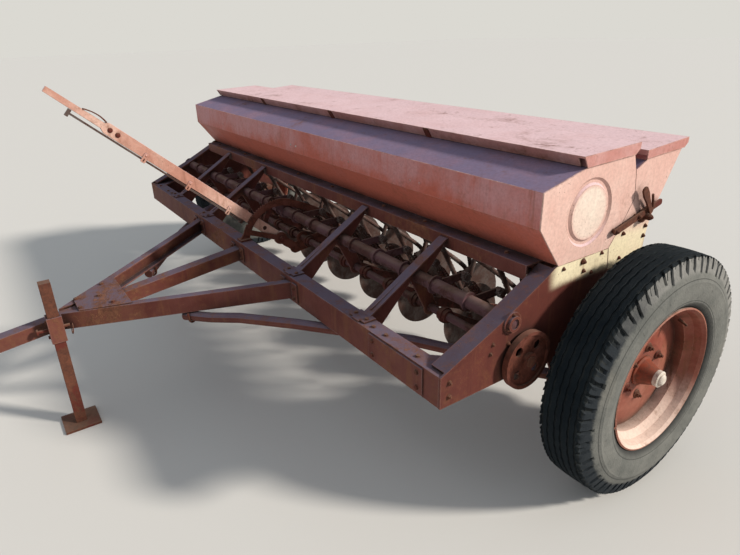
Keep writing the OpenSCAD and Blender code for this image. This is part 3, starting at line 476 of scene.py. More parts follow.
MATS = {
    # The box's downward front gets a brighter colour as painted fill light
    "box": paint("box_paint", RED, RED_FADED, TOP_CHALK_AND_SKY_TINT, rusting=0.1, edge=ROSE, damp=(0.9, 0.96, 0.05),
                 sunny=(0.99, 1.13), painted_fill_colour=(0.56, 0.15, 0.1), nook_darkening=0.4),
    "lid": paint("lid_paint", (0.5, 0.22, 0.19), (0.62, 0.36, 0.34), LID_CHALK, rusting=0.07,
                 edge=ROSE, damp=(1.216, 1.25, 0.035), nook_darkening=0.4),
    "end": paint("end_paint", END_PINK_AND_SUNLIT, END_PALE_AND_SUNLIT, LID_CHALK, rusting=0.02, edge=ROSE,
                 spot=(PALE, *RING_AT, RING_R), nook_darkening=0.45),
    # The fertiliser end's low strip and the end frame's top strip are partly paler paint and partly painted
    # sunlight
    "fert_end": paint("fertiliser_end_paint", END_PINK_AND_SUNLIT, END_PALE_AND_SUNLIT, LID_CHALK, rusting=0.05, edge=ROSE,
                      pale_sunlit_strip=(CREAM_AND_SUNLIT, 1.0, 0.93), nook_darkening=0.5),
    # The end frame's dark red is partly its own paint and partly painted shade, with a painted sky tint on
    # its tops
    "plate": paint("end_frame_paint_with_painted_shade", (0.07, 0.018, 0.015), (0.11, 0.03, 0.023),
                   (0.1, 0.085, 0.12), rusting=0.3, chalk_and_sky_amount=0.9, edge=(0.26, 0.12, 0.1),
                   pale_sunlit_strip=(CREAM_AND_SUNLIT, 0.83, 0.865, STRIP_Y)),
    "frame": paint("frame_paint", (0.095, 0.023, 0.018), (0.155, 0.05, 0.04), FRAME_TOP_CHALK_AND_SKY_TINT,
                   rusting=0.4, chalk_and_sky_amount=0.9, edge=(0.3, 0.2, 0.2)),
    "lever": paint("lever_paint", (0.5, 0.24, 0.18), (0.76, 0.52, 0.43), LID_CHALK, rusting=0.22),
    # The rim's pale colour where it faces up is partly powdery paint and partly painted sunlight on its lower
    # inside
    "rim": paint("rim_paint", (0.2, 0.04, 0.025), (0.34, 0.122, 0.085), (0.84, 0.66, 0.57),
                 rusting=0.22, chalk_and_sky_amount=0.95, edge=(0.62, 0.34, 0.25), nook_darkening=0.8),
    "cast": rusty("cast_rust", (0.07, 0.03, 0.022), (0.155, 0.058, 0.034), RED_DARK, amount=0.55),
    "cover": rusty("cover_rust", (0.06, 0.02, 0.014), (0.15, 0.045, 0.028),
                   (0.15, 0.05, 0.036), amount=0.7),
    "iron": rusty("iron_rust", (0.028, 0.013, 0.011), (0.085, 0.03, 0.02),
                  (0.1, 0.028, 0.022), amount=0.7),
    "shaft": rusty("shaft_rust", (0.045, 0.018, 0.017), (0.1, 0.042, 0.036),
                   (0.11, 0.055, 0.062), amount=0.8),
    "cap": hub_metal("hub_metal"),
    "steel": worn_steel("stained_steel", (0.13, 0.1, 0.09), (0.075, 0.034, 0.025)),
    "blade": worn_steel("blade_steel", (0.095, 0.07, 0.062), (0.06, 0.027, 0.02), metal=0.35),
    "ribbon": worn_steel("ribbon_steel", (0.12, 0.085, 0.075), (0.07, 0.03, 0.023), metal=0.35),
    "zinc": worn_steel("dull_zinc", (0.6, 0.58, 0.55), (0.36, 0.3, 0.27), metal=0.2),
    "side": rubber_side("tyre_side"),
    "tread": rubber_tread("tyre_tread"),
}


def pairs(*names):
    """The names of nodes that the model has on each side."""
    return [f"{name}_{side}" for name in names for side in SIDES]


# The model's nodes in each look, and the looks whose edges are eased
NODE_LOOKS = {
    "box": ["grain_box", "fertiliser_box"],
    "lid": ["grain_lid", "fertiliser_lid"],
    "end": pairs("grain_box_end"),
    "fert_end": pairs("fertiliser_box_end"),
    "plate": pairs("end_frame"),
    "frame": ["front_beam", "sloped_rails", "hopper_rail", "rear_beam", "tongue_middle_bar",
              "stand_sleeve"] + pairs("tongue_bar", "draft_brace"),
    "lever": ["lift_lever"],
    "rim": pairs("rim"),
    "cast": ["hitch_clevis", "parking_stand"] + pairs("axle"),
    "cover": ["lever_quadrant"] + pairs("drive_disc"),
    "cap": pairs("hub"),
    "iron": ["lift_link", "drag_bars", "seed_boots", "feed_cups", "fertiliser_cups"],
    "shaft": ["rockshaft", "gang_shaft"],
    "steel": ["feed_shafts", "latch_rod", "swivels", "pressure_rods"],
    "blade": ["disc_blades"],
}
SOFTENED = ("box", "lid", "end", "fert_end", "plate", "frame", "lever")


# Mesh building

# How far a flat piece's edges are eased
EASED = 0.0008


class Build:
    """Vertices and faces gathered for one piece, each face with its material's number."""

    def __init__(self):
        self.verts = []
        self.faces = []
        self.looks = []

    def add(self, verts, faces, matrix=None, look=0):
        first = len(self.verts)
        if matrix is not None:
            verts = [matrix @ Vector(v) for v in verts]
        self.verts += [tuple(v) for v in verts]
        self.faces += [[first + i for i in face] for face in faces]
        self.looks += [look] * len(faces)

    def shown(self, name, looks, sharp=35):
        """The finished object, with edges that are sharp past an angle in degrees."""
        mesh = bpy.data.meshes.new(name)
        mesh.from_pydata(self.verts, [], self.faces)
        for look in looks:
            mesh.materials.append(MATS[look])
        mesh.polygons.foreach_set("material_index", self.looks)
        mesh.shade_smooth()
        mesh.set_sharp_from_angle(angle=math.radians(sharp))
        obj = bpy.data.objects.new(name, mesh)
        bpy.context.scene.collection.objects.link(obj)
        return obj

    def piece(self, name, body, looks, sharp=35):
        """The finished object, riding on a body."""
        obj = self.shown(name, looks, sharp)
        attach(obj, body)
        return obj


def loft(rings, round_again=False):
    """Verts and faces of equal rings joined in order, capped at both ends or joined last to first."""
    n = len(rings[0])
    verts = [v for ring in rings for v in ring]
    faces = []
    for i in range(len(rings) if round_again else len(rings) - 1):
        here, there = i * n, (i + 1) % len(rings) * n
        for k in range(n):
            after = (k + 1) % n
            faces.append((here + k, here + after, there + after, there + k))
    if not round_again:
        faces.append(tuple(range(n - 1, -1, -1)))
        faces.append(tuple((len(rings) - 1) * n + k for k in range(n)))
    return verts, faces


def arc(middle, right, up, steps, start=0.0, turn=math.tau):
    """Points round a middle, from right towards up."""
    angles = (start + turn * k / steps for k in range(steps + 1))
    return [middle + right * math.cos(a) + up * math.sin(a) for a in angles]


def turned(steps, *profile):
    """A solid turned about Z through pairs of radius and height."""
    angles = [k * math.tau / steps for k in range(steps)]
    return loft([[(radius * math.cos(a), radius * math.sin(a), z) for a in angles] for radius, z in profile])


def tube(path, radius, sides):
    """A round tube along a path; radius is a number or a function of the step."""
    path = [Vector(p) for p in path]
    rings = []
    side = None
    for i, p in enumerate(path):
        ahead = path[min(i + 1, len(path) - 1)] - path[max(i - 1, 0)]
        ahead.normalize()
        if side is None:
            side = ahead.orthogonal().normalized()
        side = (side - ahead * side.dot(ahead)).normalized()
        other = ahead.cross(side)
        r = radius(i) if callable(radius) else radius
        rings.append(arc(p, side * r, other * r, sides)[:-1])
    return loft(rings)


def smooth_path(points, steps):
    """A curve through the points, with equal steps between each pair."""
    points = [Vector(p) for p in points]
    out = []
    for i in range(len(points) - 1):
        p0, p1, p2, p3 = (points[max(i - 1, 0)], points[i], points[i + 1],
                          points[min(i + 2, len(points) - 1)])
        for k in range(steps):
            t = k / steps
            out.append(0.5 * (2 * p1 + (p2 - p0) * t + (2 * p0 - 5 * p1 + 4 * p2 - p3) * t * t
                              + (3 * p1 - p0 - 3 * p2 + p3) * t ** 3))
    return out + [points[-1]]


def facing(place, direction, turn=0.0):
    """A matrix that puts +Z along a direction at a place."""
    return (Matrix.Translation(place) @ Vector(direction).to_track_quat("Z", "Y").to_matrix().to_4x4()
            @ Matrix.Rotation(turn, 4, "Z"))


def axes(place, out, along):
    """A matrix that puts +Z along out and +Y as near to along as it can."""
    z = Vector(out).normalized()
    x = Vector(along).cross(z).normalized()
    y = z.cross(x)
    return Matrix.Translation(place) @ Matrix((x, y, z)).transposed().to_4x4()


def rounded(width, height, radius):
    """A rectangle's outline with round corners."""
    steps = 4
    points = []
    for quarter, (sx, sy) in enumerate(((1, 1), (-1, 1), (-1, -1), (1, -1))):
        for k in range(steps + 1):
            a = (quarter + k / steps) * math.pi / 2
            points.append((sx * (width / 2 - radius) + radius * math.cos(a),
                           sy * (height / 2 - radius) + radius * math.sin(a)))
    return points


def plate(build, outline, thick, matrix, look=0):
    """A flat piece with eased edges; its back lies on the matrix's plane."""
    middle = sum((Vector(p) for p in outline), Vector((0, 0))) / len(outline)
    inner = [Vector(p) + (middle - Vector(p)).normalized() * EASED * 1.3 for p in outline]
    rings = [[(p[0], p[1], 0.0) for p in outline], [(p[0], p[1], thick - EASED) for p in outline],
             [(p.x, p.y, thick) for p in inner]]
    build.add(*loft(rings), matrix, look)


class Bolts(Build):
    """A build whose bolts are turned each its own way."""

    def __init__(self, seed):
        super().__init__()
        self.turns = random.Random(seed)

    def bolt(self, place, out, size, stud=0.0):
        """A hexagon head with its chamfer, on a washer as large as the size, and a stud's end."""
        matrix = facing(place, out, self.turns.uniform(0, 1))
        base = size * 0.14
        self.add(*turned(20, (size * 1.05, -0.0005), (size * 1.05, base)), matrix)
        top = base + size * 0.62
        self.add(*turned(6, (size * 0.84, base - 0.0003), (size * 0.84, top - size * 0.08),
                         (size * 0.72, top)), matrix)
        if stud:
            self.add(*turned(12, (size * 0.42, top - 0.001), (size * 0.42, top + stud),
                             (size * 0.34, top + stud + size * 0.06)), matrix)


def round_head(build, place, direction, radius, look=0):
    """A carriage bolt's or rivet's low dome."""
    profile = [(radius * math.cos(a), radius * 0.5 * math.sin(a)) for a in (-0.05, 0.35, 0.75, 1.15, 1.45)]
    build.add(*turned(14, *profile), facing(place, direction), look)


# Tyres

# The size of a tyre, and the half width of its bead
TYRE_R = AXLE.z
TYRE_HALF = (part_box("tyre_right")[1].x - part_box("tyre_right")[0].x) / 2
BEAD_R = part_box("rim_right")[1].z - AXLE.z - 0.008
BEAD_HALF = 0.0685

# The tread: its half width, its grooves' places and size, and how far its ribs wave from side to side
TREAD_HALF = 0.079
RIB_EDGES = (0.012, 0.040, 0.064)
GROOVE_HALF = 0.0035
GROOVE_EASE = 0.0012
GROOVE_DEEP = 0.0055
RIB_WAVE = 0.0016

# The shoulder's and the lugs' outlines: out from the tread's half width, and in from the tyre's radius
SHOULDER = ((-0.006, 0.0035), (-0.001, 0.006))
LUG_OUTLINE = ((0.003, 0.014), (0.0075, 0.031), (0.0105, 0.044), (0.0135, 0.057))

# The lugs: their number, the kinds of ring along each one, and what wear takes off a land's corner
LUGS = 62
LUG_KINDS = ("land", "slot", "slot", "land", "notch", "notch", "land")
LAND_WORN = 0.004

# A lug's cuts: the points before the shoulder that they take in, and how far they go down and inwards
LUG_CUTS = {"slot": (3, 0.012, 0.009), "notch": (2, 0.006, 0.0045)}
SLOT_END_DEEP = 0.003

# The side wall: its steps from shoulder to bead, and the steps that stand out as ridges
SIDE_STEPS = 14
SIDE_RIDGES = (3, 11)
RIDGE_HIGH = 0.0022


def tyre_section():
    """Half the section from the tread's middle to the bead, and where its shoulder and its lugs end.

    Each point is a place across and a radius.
    """
    points = [(0.0, TYRE_R)]
    for edge in RIB_EDGES:
        crown = TYRE_R - 0.05 * edge * edge / TREAD_HALF
        points += [(edge - GROOVE_HALF - GROOVE_EASE, crown), (edge - GROOVE_HALF, crown - GROOVE_DEEP),
                   (edge + GROOVE_HALF, crown - GROOVE_DEEP), (edge + GROOVE_HALF + GROOVE_EASE, crown)]
    points += [(TREAD_HALF + out, TYRE_R - down) for out, down in SHOULDER]
    shoulder = len(points)
    points += [(TREAD_HALF + out, TYRE_R - down) for out, down in LUG_OUTLINE]
    lug_end = len(points)
    low = BEAD_R + 0.004
    high = TYRE_R - 0.062
    for k in range(SIDE_STEPS + 1):
        t = k / SIDE_STEPS
        radius = high + (low - high) * t
        bulge = math.sin(math.pi * min(1.0, t * 0.82 + 0.18))
        across = BEAD_HALF + (TYRE_HALF - BEAD_HALF) * bulge ** 0.5
        if k in SIDE_RIDGES:
            across += RIDGE_HIGH
        points.append((across, radius))
    points += [(0.0705, low - 0.003), (0.066, low - 0.0045), (0.058, low - 0.002)]
    return points, shoulder, lug_end


class Lug:
    """One lug of the tread. Chance sets its wear, and how wide and how long its slot and notch are."""

    def __init__(self, uneven, shoulder, lug_end):
        self.shoulder = shoulder
        self.lug_end = lug_end
        self.wear = uneven.uniform(0.5, 1.0)
        self.shift = uneven.uniform(-0.09, 0.09)
        wide = uneven.uniform(0.2, 0.36)
        notch = uneven.uniform(0.56, 0.66)
        self.cuts = (0.0, 0.05, 0.05 + wide, 0.1 + wide, notch, notch + uneven.uniform(0.05, 0.12), 0.86)
        self.reach = {"land": 0, "slot": lug_end - uneven.choice((0, 0, 1, 1, 2)),
                      "notch": shoulder + uneven.choice((0, 1, 1, 2))}

    def cut(self, kind, across, radius, i):
        """Where point i of the section lies on this lug's land, in its slot or in its notch."""
        before, down, inwards = LUG_CUTS.get(kind, (0, 0, 0))
        if self.shoulder - before <= i < self.reach[kind]:
            slot_end = kind == "slot" and i >= self.lug_end - 2
            radius -= SLOT_END_DEEP if slot_end else down * self.wear
            if i >= self.shoulder:
                across -= math.copysign(inwards * self.wear, across)
        elif i in (self.shoulder - 1, self.shoulder):
            radius -= LAND_WORN * (1 - self.wear)
        return across, radius

    def slant(self, across, i, wobble):
        """How far the lug's cuts lean round the wheel, as a share of a turn."""
        outer = max(0.0, (abs(across) - RIB_EDGES[-1]) / 0.02)
        slant = (0.25 + self.shift * min(1.0, outer)) / LUGS * outer
        if self.shoulder <= i < self.lug_end:
            slant += wobble[i] / LUGS
        return slant


def tyre_rings(section, half, shoulder, lug_end, uneven):
    """Rings round the tyre, and how far down the section each one's cut reaches."""
    rings = []
    reaches = []
    for number in range(LUGS):
        lug = Lug(uneven, shoulder, lug_end)
        for cut, kind in zip(lug.cuts, LUG_KINDS):
            ring = []
            wobble = [uneven.uniform(-0.035, 0.035) for _ in half]
            for across, radius, i in section:
                turn = (number + cut + (0.5 if across < 0 else 0.0)) / LUGS
                angle = math.tau * (turn + lug.slant(across, i, wobble))
                across, radius = lug.cut(kind, across, radius, i)
                if 0 < i < shoulder - 2:
                    across += RIB_WAVE * math.sin(math.tau * turn * LUGS)
                ring.append((across, radius * math.cos(angle), radius * math.sin(angle)))
            rings.append(ring)
            reaches.append(lug.reach[kind])
    return rings, reaches


def tyre(side, sign):
    """A worn implement tyre: plain ribs round its middle and short lugs along its shoulders."""
    half, shoulder, lug_end = tyre_section()
    right = [(x, r, i) for i, (x, r) in enumerate(half)]
    section = [(-x, r, i) for x, r, i in reversed(right)] + right[1:]
    rings, reaches = tyre_rings(section, half, shoulder, lug_end, random.Random(40 + sign))
    verts, faces = loft(rings, round_again=True)
    outwards = [(a, d, c, b) for a, b, c, d in faces]
    build = Build()
    build.add(verts, outwards, Matrix.Translation((sign * AXLE.x, AXLE.y, AXLE.z)))
    n = len(section)
    for number, face in enumerate(build.faces):
        row, k = divmod(face[0], n)
        i = section[k if section[k][0] < 0 else min(k + 1, n - 1)][2]
        reach = min(reaches[row], reaches[(row + 1) % len(reaches)])
        build.looks[number] = 0 if i < max(shoulder, reach) else 1
    obj = build.piece("tyre_tread_" + side, "wheel_" + side, ["tread", "side"], 28)
    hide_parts("tyre_" + side)


# Openers: springs and ribbon tubes

# A pressure rod stands beside its row; its spring leaves it free at both ends
ROD_OFF = 0.028
SPRING_FROM = 0.0485
SPRING_FREE = 0.0445
SPRING_R = 0.0155
SPRING_WIRE = 0.0031
SPRING_TURNS = 17


def springs():
    """A coil spring on each pressure rod."""
    rod = ARM_END - ROD_PIN
    low, high = SPRING_FROM + SPRING_WIRE, rod.length - SPRING_FREE
    steps = SPRING_TURNS * 14
    coil = []
    for k in range(steps + 1):
        t = k / steps
        a = SPRING_TURNS * t * math.tau
        coil.append((SPRING_R * math.cos(a), SPRING_R * math.sin(a), low + (high - low) * t))
    build = Build()
    for i in range(ROWS):
        start = ROD_PIN + along_x(row_x(i) + ROD_OFF)
        build.add(*tube(coil, SPRING_WIRE, 6), facing(start, rod.normalized()))
    obj = build.piece("coil_springs", "rods", ["iron"], 60)
    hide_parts("pressure_springs")


# Boots stand in a front and a back line, Y counted from the axle; cups are given by Y and height
BOOT_Y = (-0.025, 0.165)
BOOT_HALF = 0.018
BOOT_TOP = 0.455
SEED_CUP = (-0.190, 0.796)
FERTILISER_CUP = (0.112, 0.826)
TUBE_R = 0.0125
TUBE_SPLIT = 0.025


def ribbon_tubes(name, node, cup, split):
    """Coiled ribbon tubes that fall from the cups and bend into the boots."""
    build = Build()
    for i in range(ROWS):
        boot_y = BOOT_Y[i % 2] + split
        top = at_axle(row_x(i), cup[0], cup[1] - 0.002)
        low = at_axle(row_x(i), boot_y, BOOT_TOP - 0.022)
        bend = Vector((0, 0, 0.05))
        path = smooth_path([top, top - bend * 0.7, low + bend * 1.2, low], 34)
        build.add(*tube(path, lambda k: TUBE_R * (1.0 if k % 2 else 0.86), 12))
    obj = build.shown(name, ["ribbon"], 75)
    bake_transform(obj)
    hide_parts(node)


# Bolts, clasps and fittings

# Places on the frame in millimetres, Y counted from the axle
BEAM_FRONT = -826
SIDE_BAR_LUGS = (505, 613)
MIDDLE_BAR_LUG = 54
BEAM_TOP_BOLTS = (1154, 1229, 1400)
HOPPER_RAIL_BOLTS = (1350, 905, 620, 180)
RAILS = (-1068, -534, 534, 1068)
SPLICE_X = 1312
STAND_X = 60
STAND_Y = -1700

# The drawbar's height at the front beam, and its fall to the hitch; a gusset joins its bars
DRAW_FROM = 605
DRAW_FALL = 0.1349
DRAW_UP = (0, -0.13, 1)
GUSSET_Y = -1500
GUSSET_BOLTS = ((54, -1590), (118, -1465))

# Bolts of the rockshaft's bearings, and the strap round a brace with its straight legs
BEARING_BOLTS_R = 0.031
CLAMP_R = 0.0262
CLAMP_LEG = 0.023

# Bolts on an end frame and on a box end in millimetres: Y from the axle, height, and size
END_BOLTS = ((-296, 887, 7), (-194, 889, 11), (-92, 896, 7), (-185, 852, 8), (-140, 836, 7),
             (-609, 709, 7), (-618, 677, 7), (-539, 690, 7), (-790, 640, 9), (-790, 590, 9),
             (-255, 447, 9), (-214, 440, 9), (48, 503, 10), (-48, 503, 10), (48, 427, 10),
             (-48, 427, 10), (262, 620, 9), (262, 580, 9), (32, 967, 7), (76, 977, 7), (23, 942, 8),
             (158, 944, 8), (155, 906, 8), (150, 978, 7), (20, 850, 7), (140, 850, 7))

# Bolts of a wheel on its rim's disc, the first one's place and the valve's in degrees
WHEEL_BOLTS = 6
WHEEL_BOLTS_R = 0.096
FIRST_WHEEL_BOLT = -97
VALVE_R = 0.226
VALVE_TURN = 52

# Hinges as shares of the boxes' half width, and the way up the fertiliser box's back
HINGES = (-0.84, -0.29, 0.29, 0.84)
BACK_RISE = (0, 38, 67)

# Places across in millimetres: clasps, the grain box's partitions, and the one with new rivets
CLASPS_X = (-790, 20, 780)
GRAIN_PARTITIONS = (-1076, -576, -76, 424, 924)
BRIGHT_RIVETS_X = -76


def draw_z(y):
    """Height of the drawbar's middle line."""
    return DRAW_FROM + (y - BEAM_FRONT) * DRAW_FALL


def end_frame_bolts(build, sign):
    """Bolts through an end frame and a box end, and those of the shafts' bearings."""
    out = (sign, 0, 0)
    for y, z, size in END_BOLTS:
        build.bolt(Vector((sign * SIDE_X, *mm(0, y, z).yz)), out, size / 1000, stud=size / 2500)
    for turn in (90, 210, 330):
        build.bolt(ROCKSHAFT + spoke(sign * 1.546, BEARING_BOLTS_R, turn), out, 0.006, 0.004)
    build.bolt(GANG_SHAFT + along_x(sign * 1.5635), out, 0.025)


def bar_lug(build, x, z, height, bolts_z):
    """The lug and bolts that hold a bar of the drawbar to the front beam."""
    plate(build, rounded(0.044, height, 0.006), 0.007, axes(mm(x, BEAM_FRONT, z), FRONT, UP), look=1)
    for bolt_z in bolts_z:
        build.bolt(mm(x, BEAM_FRONT - 7, bolt_z), FRONT, 0.009, 0.004)


def brace_clamp(build, sign):
    """The strap that holds a round brace up to the drawbar."""
    pipe = Vector((sign * 110, 80, 7)).normalized()
    side = pipe.cross(Vector(UP)).normalized()
    high = side.cross(pipe)
    loop = arc(mm(sign * 322, -1192, 493), side * CLAMP_R, high * CLAMP_R, 12, math.pi, math.pi)
    loop = [loop[0] + high * CLAMP_LEG] + loop + [loop[-1] + high * CLAMP_LEG]
    build.add(*tube(loop, 0.0045, 8))


def half_frame_bolts(build, sign):
    """What each half of the frame has of bolts and lugs."""
    end_frame_bolts(build, sign)
    for x in SIDE_BAR_LUGS:
        bar_lug(build, sign * x, 608, 0.086, (584, 632))
    bar_lug(build, sign * MIDDLE_BAR_LUG, 612, 0.072, (592, 632))
    for x in BEAM_TOP_BOLTS:
        build.bolt(mm(sign * x, -800, 668), UP, 0.0085)
    for x in HOPPER_RAIL_BOLTS:
        build.bolt(mm(sign * x, -362, 903.7), UP, 0.009)
    for z in (582, 618):
        build.bolt(mm(sign * 1462, 290, z), BACK, 0.01, 0.005)
    build.bolt(mm(sign * 30, -1975, 452), (sign, 0, 0), 0.011, 0.006)
    for x, y in GUSSET_BOLTS:
        build.bolt(mm(sign * x, y, draw_z(y) + 46), DRAW_UP, 0.01)
    brace_clamp(build, sign)


def beam_bolts(build):
    """The splice on the front beam and the bolts of the sloped rails."""
    splice = axes(mm(SPLICE_X, BEAM_FRONT, 611.5), FRONT, UP)
    plate(build, rounded(0.295, 0.1, 0.003), 0.006, splice, look=1)
    for x in (SPLICE_X - 122, SPLICE_X + 122):
        for z in (640, 584):
            build.bolt(mm(x, BEAM_FRONT - 6, z), FRONT, 0.009)
    for x in RAILS:
        for dx in (-34, 34):
            build.bolt(mm(x + dx, -793, 674.2), UP, 0.0085)


def draw_gusset(build):
    """The plate that joins the drawbar's three bars."""
    gusset = axes(mm(0, GUSSET_Y, draw_z(GUSSET_Y) + 38.9), (0, -DRAW_FALL, 1), (0, 1, DRAW_FALL))
    plate(build, [(-0.072, -0.1), (0.072, -0.1), (0.192, 0.1), (-0.192, 0.1)], 0.0065, gusset, look=1)
    build.bolt(mm(0, GUSSET_Y, draw_z(GUSSET_Y) + 45.2), DRAW_UP, 0.011)


def stand_pin(build):
    """The cross pin of the stand's sleeve with its ring, and the sleeve's bolts."""
    x, z = STAND_X, draw_z(STAND_Y)
    for dz in (-36, 36):
        build.bolt(mm(x, STAND_Y - 29.8, z + dz), FRONT, 0.009)
    head = mm(x, STAND_Y - 68, z)
    build.add(*tube([head, mm(x, STAND_Y + 54, z)], 0.0075, 14))
    build.add(*turned(18, (0.014, 0), (0.014, 0.006), (0.011, 0.009)), facing(head, FRONT))
    ring = arc(mm(x, STAND_Y + 60, z - 22), along_x(0.022), Vector((0, 0.004, 0.022)), 28)
    build.add(*tube(ring, 0.0022, 6))


def frame_trim():
    """Bolts, lugs, splices and gussets of the frame."""
    build = Bolts(7)
    for sign in SIDES.values():
        half_frame_bolts(build, sign)
    beam_bolts(build)
    draw_gusset(build)
    stand_pin(build)
    build.piece("frame_bolts", "chassis", ["cast", "frame"])


def feed_control():
    """The rate lever of the feeds on the right-hand end, with its rod and handles."""
    build = Bolts(11)
    out = (1, 0, 0)
    low, high = mm(1551, -58, 964), mm(1551, 216, 1031)
    bar = high - low
    plate(build, rounded(0.022, bar.length, 0.009), 0.007, axes((low + high) / 2, out, bar))
    for t in (0.05, 0.5, 0.74):
        place = low.lerp(high, t)
        build.add(*tube([place - along_x(0.0115), place], 0.008, 14))
        build.bolt(place + along_x(0.007), out, 0.0085, 0.003)
    pivot = mm(1540, 125, 990)
    boss = turned(28, (0.026, 0), (0.026, 0.008), (0.02, 0.011), (0.012, 0.012), (0.012, 0.03))
    build.add(*boss, facing(pivot, out))
    build.bolt(pivot + along_x(0.03), out, 0.012, 0.004)
    foot, head = mm(1561, 140, 1002), mm(1561, 72, 1104)
    long = (head - foot).length / 2
    right_edge = [(0.008, -long), (0.011, 0.0), (0.016, long * 0.5), (0.013, long * 0.92), (0.006, long)]
    paddle = [(-0.008, -long)] + right_edge + [(-x, y) for x, y in reversed(right_edge[1:])]
    plate(build, paddle, 0.007, axes((foot + head) / 2, out, head - foot))
    thin = smooth_path([mm(1556, 158, 1008), mm(1562, 146, 1038), mm(1570, 122, 1074)], 8)
    build.add(*tube(thin, 0.0045, 10))
    build.piece("feed_rate_lever", "chassis", ["cast"])


def wheel_trim(side, sign):
    """Lug nuts, dust cap and valve of a wheel."""
    build = Bolts(3 + sign)
    out = along_x(sign)
    centre = Vector((sign * AXLE.x, AXLE.y, AXLE.z))
    for k in range(WHEEL_BOLTS):
        turn = FIRST_WHEEL_BOLT + 360 / WHEEL_BOLTS * k
        place = centre + spoke(sign * 0.0042, WHEEL_BOLTS_R, turn)
        build.add(*turned(22, (0.019, 0), (0.017, 0.004), (0.0135, 0.0055)), facing(place, out))
        build.bolt(place + out * 0.005, out, 0.0125, 0.007)
    cap = turned(28, (0.0215, 0), (0.0215, 0.005), (0.0185, 0.0085), (0.0125, 0.0115), (0.005, 0.0128))
    build.add(*cap, facing(centre + out * 0.0775, out), 1)
    stem = centre + spoke(sign * 0.03, VALVE_R, VALVE_TURN)
    tip = stem + spoke(sign * 0.036, -0.012, VALVE_TURN)
    build.add(*tube([stem, stem.lerp(tip, 0.6), stem.lerp(tip, 0.61), tip],
                    lambda i: 0.0058 if i < 2 else 0.0045, 12))
    build.piece("wheel_nuts_" + side, "wheel_" + side, ["cast", "cap"])


def hinge_leaves():
    """Leaves and rivets of the lids' hinges on the back of the fertiliser box."""
    out = Vector((0, BACK_RISE[2], -BACK_RISE[1])).normalized()
    build = Build()
    for share in HINGES:
        place = mm(share * SIDE_X * 1000, 306, 1184.5)
        plate(build, rounded(0.1, 0.052, 0.008), 0.0035, axes(place, out, BACK_RISE))
        for dx in (-0.034, 0, 0.034):
            for y, z in ((0.004, 0.007), (-0.006, -0.0105)):
                round_head(build, place + out * 0.0034 + Vector((dx, y, z)), out, 0.0065)
    build.piece("hinge_leaves", "chassis", ["box"])


def lid_clasps():
    """Clasps on the grain lid's front, each with two rivets and a knob."""
    up = Vector((0, -23, 38)).normalized()
    out = Vector((0, -38, -23)).normalized()
    build = Build()
    for x in CLASPS_X:
        middle = mm(x, -252.5, 1238)
        place = middle + out * 0.0002 - up * 0.014
        plate(build, rounded(0.034, 0.066, 0.007), 0.0032, axes(place, out, up))
        for dx in (-0.009, 0.009):
            round_head(build, middle + out * 0.0033 + up * 0.008 + along_x(dx), out, 0.0052)
        knob = middle - up * 0.037 + out * 0.006
        build.add(*tube([knob + along_x(dx) for dx in (-0.021, -0.019, 0.019, 0.021)],
                        lambda i: 0.0035 if i in (0, 3) else 0.0055, 12))
    build.piece("lid_clasps", "grain_lid", ["cast"])


def box_rivets():
    """Rivets that hold the partitions inside the boxes; one pair is new and bright."""
    build = Build()
    front_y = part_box("grain_box")[0].y
    back_out = Vector((0, 118, -67)).normalized()
    for x in GRAIN_PARTITIONS:
        for dx in (-28, 28):
            place = Vector(((x + dx) / 1000, front_y, 1.085))
            round_head(build, place, FRONT, 0.0055, 1 if x == BRIGHT_RIVETS_X else 0)
            for t in (0.12, 0.5, 0.88):
                round_head(build, mm(x + 76 + dx, 217 + 67 * t, 1028 + 118 * t), back_out, 0.005)
    build.piece("box_rivets", "chassis", ["box", "zinc"])


# The hand lever at rest: its slope, its direction and the one at right angles to it
LEVER_SLOPE = math.radians(41.2)
LEVER_ALONG = Vector((0, -math.cos(LEVER_SLOPE), math.sin(LEVER_SLOPE)))
LEVER_UP = Vector((0, math.sin(LEVER_SLOPE), math.cos(LEVER_SLOPE)))

# The rings that guide the latch rod, and the hoop over the grip: along the lever and off it, in millimetres
GUIDE_R = 0.0105
HOOP_WIDE = 0.018
HOOP_THICK = 0.005
GRIP_HOOP = ((1092, 14.8), (1080, 19), (1058, 24.5), (1030, 27), (1006, 24), (992, 20))


def on_lever(x, along, off):
    """A point on the hand lever, in millimetres: to its side, up its length from the pivot, and off it."""
    return LEVER_PIVOT + (LEVER_ALONG * along + LEVER_UP * off + along_x(x)) / 1000


def grip_hoop():
    """The strap over the lever's grip."""
    hoop = smooth_path([on_lever(0, along, off) for along, off in GRIP_HOOP], 5)
    rings = []
    for i, p in enumerate(hoop):
        ahead = (hoop[min(i + 1, len(hoop) - 1)] - hoop[max(i - 1, 0)]).normalized()
        rise = (LEVER_UP - ahead * LEVER_UP.dot(ahead)).normalized() * HOOP_THICK / 2
        rings.append([p + along_x(x * HOOP_WIDE / 2) + rise * h
                      for x, h in ((-1, -1), (1, -1), (1, 1), (-1, 1))])
    return loft(rings)


